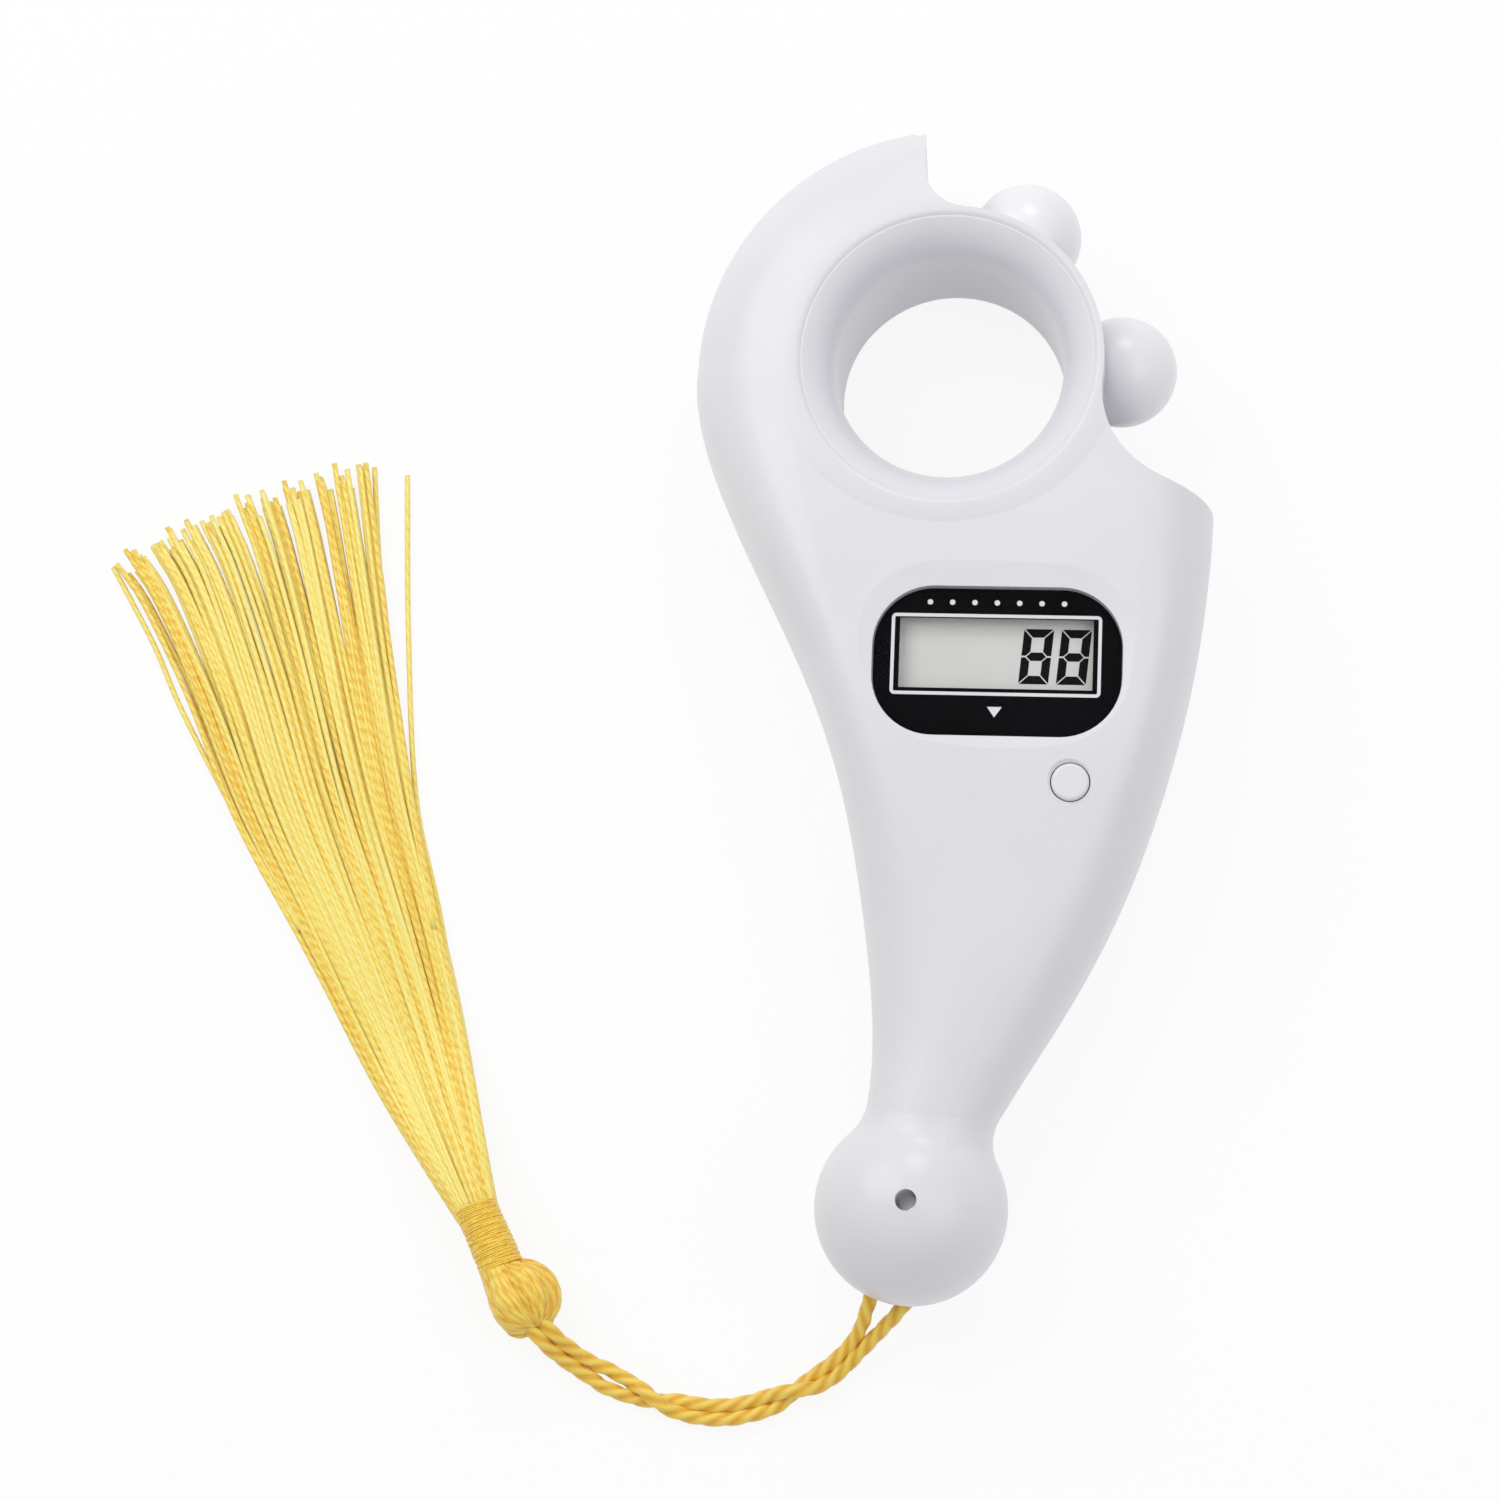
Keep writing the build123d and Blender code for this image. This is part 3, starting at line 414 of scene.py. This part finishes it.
class YarnMesh:
    def __init__(self):
        self.points, self.faces, self.lay, self.tones = [], [], [], []

    def addTube(self, line, radius, sides, plies=0, relief=0.0, pitch=1.0, ease=None, start=0.0, tone=0.0):
        # all lengths in metres; relief is how deep the grooves between the plies are,
        # ease scales the radius along the line, and tone runs from -0.5 to 0.5
        base = len(self.points)
        along = (line[1] - line[0]).normalized()
        side = along.orthogonal().normalized()
        run = start
        for number, point in enumerate(line):
            nextAlong = (line[min(number + 1, len(line) - 1)] - line[max(number - 1, 0)]).normalized()
            side = along.rotation_difference(nextAlong) @ side
            side = (side - nextAlong * side.dot(nextAlong)).normalized()
            along = nextAlong
            other = along.cross(side)
            if number:
                run += (point - line[number - 1]).length
            size = radius * (ease(number / (len(line) - 1)) if ease else 1.0)
            turn = 2 * math.pi * run / pitch
            for corner in range(sides):
                angle = 2 * math.pi * corner / sides
                crest = abs(math.cos(plies * (angle - turn) / 2)) if plies else 1.0
                reach = size * (1 - relief * (1 - crest))
                self.points.append(point + (side * math.cos(angle) + other * math.sin(angle)) * reach)
        rings = len(line)
        step = (run - start) / (rings - 1)
        self.tones += [tone] * (rings * sides)
        for ring in range(rings - 1):
            low, high = start + ring * step, start + (ring + 1) * step
            for corner in range(sides):
                a = base + ring * sides + corner
                b = base + ring * sides + (corner + 1) % sides
                u, nextU = corner / sides, (corner + 1) / sides
                self.faces.append((a, b, b + sides, a + sides))
                self.lay.append([(u, low), (nextU, low), (nextU, high), (u, high)])
        for ring in (0, rings - 1):
            cap = [base + ring * sides + corner for corner in range(sides)]
            self.faces.append(tuple(cap if ring else cap[::-1]))
            self.lay.append([(0.25, run)] * sides)

    def build(self, name, finish):
        mesh = bpy.data.meshes.new(name)
        mesh.from_pydata(self.points, [], self.faces)
        layer = mesh.uv_layers.new(name="lay")
        flat = [c for face in self.lay for corner in face for c in corner]
        layer.data.foreach_set("uv", flat)
        mesh.attributes.new("tone", "FLOAT", "POINT").data.foreach_set("value", self.tones)
        mesh.polygons.foreach_set("use_smooth", [True] * len(mesh.polygons))
        mesh.materials.append(finish)
        piece = bpy.data.objects.new(name, mesh)
        scene.collection.objects.link(piece)
        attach(piece, "housing")
        return piece


cord = {
    "diameter": 1.45,
    "pairRoute": [(-36.9, -9.9, 4.6), (-35.3, -12.2, 5.4), (-32.9, -14.3, 2.7), (-29.4, -16.3, 1.0),
                  (-23.8, -18.4, 1.0), (-18.2, -19.5, 1.0), (-12.6, -17.9, 1.0)],
    "pairSpacing": 1.28,
    "leftLeg": [(-8.45, -14.95, 1.0), (-5.15, -11.88, 2.3), (-3.85, -8.5, 6.0), (-3.0, -3.9, 6.4)],
    "rightLeg": [(-7.62, -15.92, 1.0), (-4.4, -12.53, 2.3), (-0.6, -8.9, 6.0), (2.8, -3.9, 6.4)],
    "overReach": 2.855,    # half the loop round the tail's tube
    "overHeight": 6.4,
    "tail": (-1.714, -47.962),
    # shares of a leg's length from the tassel between which the legs make half a turn about each other
    "halfTurns": [(0.215, 0.358), (0.452, 0.598)],
    "opening": (0.2, 0.028, 0.42),  # where the legs part, over what share, and by how many mm
    "floorGap": 0.03,
    "plies": 3,
    "plyPitch": -6.4,      # mm for a turn of the plies, laid to the left
    "plyRelief": 0.24,
    "routeSteps": 24,      # of the spline, between two route points
    "legSteps": 400,
    "step": 0.22,
    "sides": 18,
}


def fromTail(points):
    x, y = cord["tail"]
    return [Vector((x + across, y + along, up)) * mm for across, along, up in points]


def pairSide(side):
    route = fromTail(cord["pairRoute"])
    moved = []
    for number, point in enumerate(route):
        way = route[min(number + 1, len(route) - 1)] - route[max(number - 1, 0)]
        across = Vector((-way.y, way.x, 0)).normalized()
        moved.append(point + across * side * cord["pairSpacing"] / 2 * mm)
    return moved


def nurbsLine(name, points):
    curve = bpy.data.curves.new(name, "CURVE")
    curve.dimensions = "3D"
    spline = curve.splines.new("NURBS")
    spline.points.add(len(points) - 1)
    for place, point in zip(spline.points, points):
        place.co = (*point, 1)
    spline.order_u = 3
    spline.use_endpoint_u = True
    spline.resolution_u = cord["routeSteps"]
    holder = bpy.data.objects.new(name, curve)
    scene.collection.objects.link(holder)
    mesh = bpy.data.meshes.new_from_object(holder)
    line = [v.co.copy() for v in mesh.vertices]
    bpy.data.objects.remove(holder)
    bpy.data.meshes.remove(mesh)
    return line


def smooth(t):
    t = min(max(t, 0.0), 1.0)
    return t * t * (3 - 2 * t)


def lineLength(line):
    return sum((b - a).length for a, b in zip(line, line[1:]))


def legLines():
    reach, high = cord["overReach"], cord["overHeight"]
    over = fromTail([(0, reach, high), (-reach, reach, high), (reach, reach, high)])
    left = pairSide(1) + fromTail(cord["leftLeg"]) + [over[1], over[0]]
    right = pairSide(-1) + fromTail(cord["rightLeg"]) + [over[2], over[0]]
    lines = [nurbsLine("leftRoute", left), nurbsLine("rightRoute", right)]
    count = cord["legSteps"]
    pairs = [evenPoints(line, lineLength(line) / count) for line in lines]
    twisted = [[], []]
    radius = cord["diameter"] / 2 * mm
    openAt, openWidth, openBy = cord["opening"]
    for number in range(count + 1):
        share = number / count
        a, b = pairs[0][number], pairs[1][number]
        middle, half = (a + b) / 2, (a - b) / 2
        turn = math.pi * sum(smooth((share - low) / (high - low)) for low, high in cord["halfTurns"])
        back, ahead = max(number - 1, 0), min(number + 1, count)
        way = (pairs[0][ahead] + pairs[1][ahead] - pairs[0][back] - pairs[1][back]).normalized()
        half = Matrix.Rotation(turn, 3, way) @ half
        apart = openBy / 2 * mm * math.exp(-((share - openAt) / openWidth) ** 2)
        half = half + half.normalized() * apart
        lift = max(0.0, radius + cord["floorGap"] * mm + abs(half.z) - middle.z)
        middle = middle + Vector((0, 0, lift))
        twisted[0].append(middle + half)
        twisted[1].append(middle - half)
    return twisted


for legName, line in zip(("cordLegLeft", "cordLegRight"), legLines()):
    line = evenPoints(line, cord["step"] * mm)
    leg = YarnMesh()
    leg.addTube(line, cord["diameter"] / 2 * mm, cord["sides"],
                cord["plies"], cord["plyRelief"], cord["plyPitch"] * mm)
    piece = leg.build(legName, cordYarn)
    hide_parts("lanyard_cord")
print("cord legs made")


tassel = {
    "place": (-39.07, -57.2, 3.7),  # middle of the head
    "angle": 114.6,     # degrees, the way from the head to the skirt
    "neckShift": 0.85,  # mm that the neck stands to the left of the head's middle
    "neckRadius": 1.84,
}
tasselTurn = math.radians(tassel["angle"])
tasselAlong = Vector((math.cos(tasselTurn), math.sin(tasselTurn), 0))
tasselAcross = Vector((-math.sin(tasselTurn), math.cos(tasselTurn), 0))
tasselUp = Vector((0, 0, 1))


def atTassel(along, across, up):
    return (Vector(tassel["place"]) + tasselAlong * along + tasselAcross * across + tasselUp * up) * mm


def atNeck(along, reach, turn):
    return atTassel(along, tassel["neckShift"] + reach * math.cos(turn), reach * math.sin(turn))


head = {
    "radius": 3.8,
    "up": 3.6,                  # half height of the head, which lies on the table
    "neckPole": (126.0, 4.0),   # degrees round and up, where the strands leave the neck
    "cordPole": (-56.0, 27.0),  # and where they fold round the cord
    "poleShare": 0.96,          # how near to the poles they go
    "flatSide": (-0.885, -0.466, 0),  # the head is flatter here, past flatFrom mm from its middle
    "flatFrom": 1.0,
    "flatBy": 0.108,
    "strands": 46,
    "strand": 0.36,             # radius of a strand
    "strandLift": (-0.2, 0.14),
    "strandShift": 0.3,         # of the spacing
    "strandStep": 0.3,
    "strandSides": 8,
    "toneRange": 0.4,
    "plies": 2,
    "plyRelief": 0.1,
    "plyPitch": -3.2,
    "ballSteps": 36,
    "ballLeast": 12,            # points of a strand that stay on the ball
    "neckStarts": (6.2, 5.2, 4.3),  # mm up the neck, under the binding
    "leaveNeck": 1.08,          # a strand joins the ball at this many times its reach on the neck
    "coreInset": 1.2,           # how deep the core lies, in radii of a strand
    "coreSteps": 20,
    "coreSides": 24,
    "neckCore": [3.9 + 0.5 * k for k in range(12)],
    "neckInset": 0.05,
}


def poleWay(turn, up):
    turn, up = math.radians(turn), math.radians(up)
    return Vector((math.cos(turn) * math.cos(up), math.sin(turn) * math.cos(up), math.sin(up)))


def flattened(point):
    offset = point / mm - Vector(tassel["place"])
    side = Vector(head["flatSide"]).normalized()
    past = max(0.0, offset.dot(side) - head["flatFrom"])
    return point - side * (head["flatBy"] * past * past * mm)


def fromNeck(point):
    offset = point - atNeck(0, 0, 0)
    return offset - tasselAlong * offset.dot(tasselAlong)


def headLine(turn, lift):
    # one strand from the neck over the head to the cord, on a circle through both poles
    start, end = poleWay(*head["neckPole"]), poleWay(*head["cordPole"])
    middle, half = (start + end) / 2, (end - start).length / 2
    chord = (end - start).normalized()
    sideways = chord.cross(tasselUp).normalized()
    outward = sideways * math.cos(turn) + chord.cross(sideways) * math.sin(turn)
    shift = -middle.dot(outward)
    centre = middle + outward * shift
    radius = math.sqrt(half * half + shift * shift)
    spread = math.acos(-shift / radius)
    across = head["radius"] - head["strand"] + lift
    up = head["up"] - head["strand"] + lift
    steps, share = head["ballSteps"], head["poleShare"]
    ball = []
    for number in range(steps + 1):
        theta = spread * (-share + 2 * share * number / steps)
        way = centre + (outward * math.cos(theta) + chord * math.sin(theta)) * radius
        offset = Vector((way.x * across, way.y * across, way.z * up))
        ball.append(flattened((Vector(tassel["place"]) + offset) * mm))
    # it comes out of the binding along the neck, and joins the ball where that is wider
    neck = (tassel["neckRadius"] - 0.5 * head["strand"]) * mm
    while len(ball) > head["ballLeast"] and fromNeck(ball[0]).length < head["leaveNeck"] * neck:
        ball.pop(0)
    side = fromNeck(ball[0]).normalized() * neck
    return [atNeck(along, 0, 0) + side for along in head["neckStarts"]] + ball


def headTaper(t):
    # strands are half as thick at their ends
    return 0.5 + 0.5 * math.sin(math.pi * min(max(t, 0.04), 0.96)) ** 0.5


def makeHead():
    picker = random.Random(4)
    strands = YarnMesh()
    inset, steps = head["coreInset"] * head["strand"], head["coreSteps"]
    reach = head["radius"] - inset
    core = [atTassel(reach * math.cos(math.pi * k / steps), 0, 0) for k in range(steps + 1)]
    strands.addTube(core, (head["up"] - inset) * mm, head["coreSides"],
                    ease=lambda t: max(0.1, math.sin(math.pi * t)))
    strands.points = [flattened(point) for point in strands.points]
    shift, tones = head["strandShift"], head["toneRange"]
    for number in range(head["strands"]):
        turn = 2 * math.pi * (number + picker.uniform(-shift, shift)) / head["strands"]
        route = headLine(turn, picker.uniform(*head["strandLift"]))
        line = evenPoints(throughCurve(route, 4), head["strandStep"] * mm)
        strands.addTube(line, head["strand"] * mm, head["strandSides"],
                        head["plies"], head["plyRelief"], head["plyPitch"] * mm, ease=headTaper,
                        start=picker.uniform(0, 3) * mm, tone=picker.uniform(-tones, tones))
    neck = [atNeck(along, 0, 0) for along in head["neckCore"]]
    strands.addTube(neck, (tassel["neckRadius"] - head["neckInset"]) * mm, head["coreSides"])
    piece = strands.build("tasselHead", headYarn)
    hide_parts("tassel_head")
    return piece


binding = {
    "span": (3.6, 10.1),   # mm up the neck
    "swell": 0.32,         # mm that it bulges to the right at the head
    "swellOut": 0.4,       # share of the swell that widens it; the rest moves it over
    "turns": 31,
    "turnSteps": 28,
    "thread": 0.11,        # radius of the thread
    "threadSides": 8,
    "plies": 2,
    "plyRelief": 0.1,
    "plyPitch": -1.2,
    "slip": (0.06, 1.3),   # mm along the neck that a turn lies askew, and where round it
    "ripple": (0.05, 0.37),  # mm out from the neck, and waves to a turn
    "crossings": 9,        # threads that cross over the winding
    "crossingMargin": 0.2,
    "crossingLead": 1.5,
    "crossingTurns": (0.9, 1.4),
    "crossingSteps": 96,
    "crossingRise": 0.55,  # in radii of the thread
    "crossingThin": 0.9,
}


def onBinding(along, lift, turn):
    low, high = binding["span"]
    share = (along - low) / (high - low)
    swell = binding["swell"] * (1 - min(max(share, 0), 1))
    reach = tassel["neckRadius"] + lift + binding["swellOut"] * swell
    return atNeck(along, reach, turn) - tasselAcross * ((1 - binding["swellOut"]) * swell * mm)


def makeBinding():
    picker = random.Random(9)
    winding = YarnMesh()
    thread, sides = binding["thread"], binding["threadSides"]
    twist = (binding["plies"], binding["plyRelief"], binding["plyPitch"] * mm)
    low, high = binding["span"]
    slip, slipAt = binding["slip"]
    ripple, waves = binding["ripple"]
    count = binding["turns"] * binding["turnSteps"]
    line = []
    for number in range(count + 1):
        t = number / count
        turn = 2 * math.pi * binding["turns"] * t
        along = low + (high - low) * t + slip * math.sin(turn + slipAt)
        line.append(onBinding(along, thread + ripple * math.sin(waves * turn), turn))
    winding.addTube(line, thread * mm, sides, *twist)
    lead, margin, steps = binding["crossingLead"], binding["crossingMargin"], binding["crossingSteps"]
    room = high - low - lead - 2 * margin
    for number in range(binding["crossings"]):
        start, turns = picker.uniform(0, 2 * math.pi), picker.uniform(*binding["crossingTurns"])
        first = low + margin + room * number / (binding["crossings"] - 1)
        way = 1 if number % 2 else -1
        line = []
        for step in range(steps + 1):
            t = step / steps
            turn = start + way * 2 * math.pi * turns * t
            lift = thread + binding["crossingRise"] * thread * math.sin(math.pi * t) ** 0.3
            line.append(onBinding(first + lead * t, lift, turn))
        winding.addTube(line, binding["crossingThin"] * thread * mm, sides, *twist)
    piece = winding.build("tasselBinding", threadYarn)
    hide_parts("tassel_binding")


skirt = {
    # points down both sides, after the tuck at the neck
    "leftEdge": [(-45.95, -49.4), (-54.95, -36.65), (-63.75, -22.0), (-70.35, -10.95),
                 (-76.05, 1.15), (-81.4, 10.9), (-84.2, 14.6)],
    "rightEdge": [(-42.25, -47.45), (-44.0, -40.8), (-46.6, -31.0), (-49.35, -21.2),
                  (-51.6, -13.3), (-53.4, -6.3), (-56.4, 7.8), (-59.6, 24.9)],
    "edgeStep": 0.5,
    "tuck": (7.6, 1.6),    # how far up the neck the strands start, and how near its edge
    "endBow": 0.9,         # mm that the middle strands reach past a straight cut
    "endJag": 0.8,
    "endPart": 0.05,       # share of an edge that gives its way past the end
    "layers": 3,
    "perLayer": 44,
    "scatter": 0.45,       # of the spacing
    "tufts": 14,           # groups that the strands gather in near their ends
    "gather": 0.34,
    "gatherFrom": 0.7,     # share of the length
    "strand": 0.275,       # radius of a strand
    "strandSides": 6,
    "strandSteps": 44,
    "slim": (0.84, 0.3),   # share of the radius at the neck, and of the length until it is full
    "toneRange": 0.5,
    "sway": 0.3,
    "wave": (0.14, 9),     # mm sideways, and radians over the length
    "heave": (0.06, 13),   # mm up and down, and the same
    "endHeight": (0.32, 1.35),
    "neckHeight": (2.3, 5.1),
    "fallBy": 0.32,        # share of the length until the strands lie on the table
    "strays": [
        [(-43.0, -48.2, 3.2), (-45.2, -39.0, 1.6), (-49.4, -20.5, 0.5),
         (-52.6, -8.3, 0.4), (-54.3, 7.9, 0.4), (-55.4, 24.9, 0.4)],
        [(-49.9, -21.3, 1.4), (-53.6, -6.4, 0.9), (-55.9, 5.3, 0.6),
         (-57.2, 12.9, 0.4), (-57.8, 16.3, 0.4), (-58.8, 25.7, 0.4)],
        [(-63.3, -21.7, 1.2), (-70.3, -10.8, 0.8), (-76.75, 0.1, 0.5),
         (-80.15, 6.9, 0.4), (-84.9, 14.9, 0.4)],
    ],
}


def edgeLine(side, points):
    along, reach = skirt["tuck"]
    first = atTassel(along, tassel["neckShift"] + side * reach, 0) / mm
    flat = [Vector((first.x, first.y, 0))] + [Vector((x, y, 0)) for x, y in points]
    return evenPoints(throughCurve(flat, 12), skirt["edgeStep"])


def edgeAt(line, share):
    if share > 1:  # straight on past the end
        part = skirt["endPart"]
        end = edgeAt(line, 1)
        return end + (end - edgeAt(line, 1 - part)) * ((share - 1) / part)
    place = share * (len(line) - 1)
    low = min(int(place), len(line) - 2)
    return line[low].lerp(line[low + 1], place - low)


def skirtTaper(t):
    share, full = skirt["slim"]
    return share + (1 - share) * smooth(t / full)


def makeSkirt():
    picker = random.Random(11)
    left, right = edgeLine(1, skirt["leftEdge"]), edgeLine(-1, skirt["rightEdge"])
    middleLength = (len(left) + len(right)) / 2 * skirt["edgeStep"]
    lowNeck, highNeck = skirt["neckHeight"]
    lowEnd, highEnd = skirt["endHeight"]
    wave, waveRate = skirt["wave"]
    heave, heaveRate = skirt["heave"]
    scatter, gatherFrom, steps = skirt["scatter"], skirt["gatherFrom"], skirt["strandSteps"]
    radius, sides, tones = skirt["strand"], skirt["strandSides"], skirt["toneRange"]
    level = tassel["place"][2]
    tufts = [(k + picker.uniform(-scatter, scatter)) / (skirt["tufts"] - 1) for k in range(skirt["tufts"])]
    strands = YarnMesh()
    for layer in range(skirt["layers"]):
        for number in range(skirt["perLayer"]):
            across = (number + 0.5 + picker.uniform(-scatter, scatter)) / skirt["perLayer"]
            height = (layer + picker.uniform(0.1, 0.9)) / skirt["layers"]
            tuft = min(tufts, key=lambda place: abs(place - across))
            wander, drift = picker.uniform(0, 6.28), picker.uniform(-1, 1) * skirt["sway"]
            bow = skirt["endBow"] * 4 * across * (1 - across)
            reach = 1 + (picker.gauss(0, skirt["endJag"]) + bow) / middleLength
            crown = math.sqrt(max(0.0, 1 - (2 * across - 1) ** 2))  # the bundle is round at the neck
            high = level + (lowNeck + (highNeck - lowNeck) * height - level) * crown
            low = lowEnd + (highEnd - lowEnd) * height
            line = []
            for step in range(steps + 1):
                t = step / steps * reach
                inside = min(t, 1.0)
                gathered = skirt["gather"] * smooth((inside - gatherFrom) / (1 - gatherFrom))
                point = edgeAt(left, t).lerp(edgeAt(right, t), across + (tuft - across) * gathered)
                loose = min(1, 3 * t)
                point.x += (drift * inside ** 1.5 + wave * math.sin(wander + waveRate * t)) * loose
                point.z = high + (low - high) * smooth(t / skirt["fallBy"])
                point.z += heave * math.sin(2 * wander + heaveRate * t) * loose
                point.z = max(point.z, radius + cord["floorGap"])
                line.append(point * mm)
            strands.addTube(line, radius * mm, sides, ease=skirtTaper,
                            start=picker.uniform(0, 2) * mm, tone=picker.uniform(-tones, tones))
    for points in skirt["strays"]:
        strands.addTube(throughCurve([Vector(p) * mm for p in points], 10), radius * mm, sides)
    piece = strands.build("tasselSkirt", strandYarn)
    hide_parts("tassel_skirt")


tasselHead = makeHead()
makeBinding()
makeSkirt()
print("tassel made")

lensPrint = {
    "above": 0.005,      # mm over the black film
    "thick": 0.015,
    # edges counted from the lens plate's middle: left, low, right, high
    "line": (-10.02, -3.18, 9.73, 4.64),
    "lineWidth": 0.32,
    "lineCorner": 0.45,
    "dots": 7,
    "dotPitch": 2.1,
    "dotPlace": (-0.14, 5.75),
    "dotRadius": 0.26,
    "arrowPlace": (-0.14, -4.75),
    "arrow": (1.4, 1.0),  # wide and tall
    "ink": (0.8, 0.8, 0.82),
}
figures = {
    "above": 0.005,      # mm over the glass
    "thick": 0.015,
    "left": [1.96, 5.5],  # mm from the lens plate's middle to the figures' lower left corners
    "low": -1.7,
    "tall": 5.3,
    "wide": 2.8,
    "stroke": 0.8,
    "gap": 0.085,
    "slant": 5.0,        # degrees
    "ink": (0.003, 0.003, 0.0035),
}
lensBox = [Vector(corner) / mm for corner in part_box("display_lens")]
lensX, lensY = (lensBox[0].x + lensBox[1].x) / 2, (lensBox[0].y + lensBox[1].y) / 2


def flatPieces(name, outlines, rings, height, thick, finish):
    # thin plates from flat outlines, and flat loops between an outer and an inner outline
    points, faces = [], []
    for loops in [[outline] for outline in outlines] + rings:
        base, count = len(points), len(loops[0])
        for level in (height, height + thick):
            for loop in loops:
                points += [Vector((lensX + x, lensY + y, level)) * mm for x, y in loop]
        top = base + len(loops) * count
        if len(loops) == 1:
            faces.append(tuple(range(base + count - 1, base - 1, -1)))
            faces.append(tuple(range(top, top + count)))
        for k in range(count):
            n = (k + 1) % count
            faces.append((base + k, base + n, top + n, top + k))
            if len(loops) == 2:
                inner, innerTop = base + count, top + count
                faces.append((inner + n, inner + k, innerTop + k, innerTop + n))
                faces.append((top + k, top + n, innerTop + n, innerTop + k))
                faces.append((base + n, base + k, inner + k, inner + n))
    mesh = bpy.data.meshes.new(name)
    mesh.from_pydata(points, [], faces)
    mesh.materials.append(finish)
    piece = bpy.data.objects.new(name, mesh)
    scene.collection.objects.link(piece)
    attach(piece, "housing")


def roundedLoop(x0, y0, x1, y1, corner, each=6):
    loop = []
    left, low, right, high = x0 + corner, y0 + corner, x1 - corner, y1 - corner
    middles = ((right, high), (left, high), (left, low), (right, low))
    for quarter, (x, y) in enumerate(middles):
        for k in range(each + 1):
            a = math.pi / 2 * (quarter + k / each)
            loop.append((x + corner * math.cos(a), y + corner * math.sin(a)))
    return loop


def lineLoops(p):
    x0, y0, x1, y1 = p["line"]
    w, corner = p["lineWidth"], p["lineCorner"]
    return [roundedLoop(x0, y0, x1, y1, corner), roundedLoop(x0 + w, y0 + w, x1 - w, y1 - w, corner - w)]


def discOutline(x, y, radius, count=20):
    turns = [2 * math.pi * k / count for k in range(count)]
    return [(x + radius * math.cos(a), y + radius * math.sin(a)) for a in turns]


def markOutlines(p):
    x, y = p["dotPlace"]
    shift = (p["dots"] - 1) / 2
    marks = [discOutline(x + p["dotPitch"] * (k - shift), y, p["dotRadius"]) for k in range(p["dots"])]
    x, y = p["arrowPlace"]
    wide, tall = p["arrow"]
    return marks + [[(x, y - tall / 2), (x + wide / 2, y + tall / 2), (x - wide / 2, y + tall / 2)]]


def figureOutlines(f, left):
    # the seven bars of a figure, from its lower left corner
    w, h, s, g = f["wide"], f["tall"], f["stroke"], f["gap"]
    m = h / 2
    bars = [
        [(s + g, h - s), (w - s - g, h - s), (w - g, h), (g, h)],
        [(g, 0), (w - g, 0), (w - s - g, s), (s + g, s)],
        [(0, m + g), (s / 2, m + g), (s, m + s / 2 + g), (s, h - s - g), (0, h - g)],
        [(w, m + g), (w, h - g), (w - s, h - s - g), (w - s, m + s / 2 + g), (w - s / 2, m + g)],
        [(0, g), (s, s + g), (s, m - s / 2 - g), (s / 2, m - g), (0, m - g)],
        [(w, g), (w, m - g), (w - s / 2, m - g), (w - s, m - s / 2 - g), (w - s, s + g)],
        [(s / 2 + g, m), (s + g, m - s / 2), (w - s - g, m - s / 2),
         (w - s / 2 - g, m), (w - s - g, m + s / 2), (s + g, m + s / 2)],
    ]
    lean = math.tan(math.radians(f["slant"]))
    return [[(left + x + y * lean, f["low"] + y) for x, y in bar] for bar in bars]


def inkFinish(name, ink, spread):
    return mouldedGloss(name, ink, tuple(spread * c for c in ink), rough=(0.4, 0.5), specular=0.06)


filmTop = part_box("lens_mask")[1][2] / mm
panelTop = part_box("lcd_panel")[1][2] / mm
whiteInk = inkFinish("whiteInk", lensPrint["ink"], 1.04)
blackSegment = inkFinish("blackSegment", figures["ink"], 2.0)
flatPieces("lensPrint", markOutlines(lensPrint), [lineLoops(lensPrint)],
           filmTop + lensPrint["above"], lensPrint["thick"], whiteInk)
segments = [bar for left in figures["left"] for bar in figureOutlines(figures, left)]
flatPieces("panelFigures", segments, [],
           panelTop + figures["above"], figures["thick"], blackSegment)
print("print and figures made")
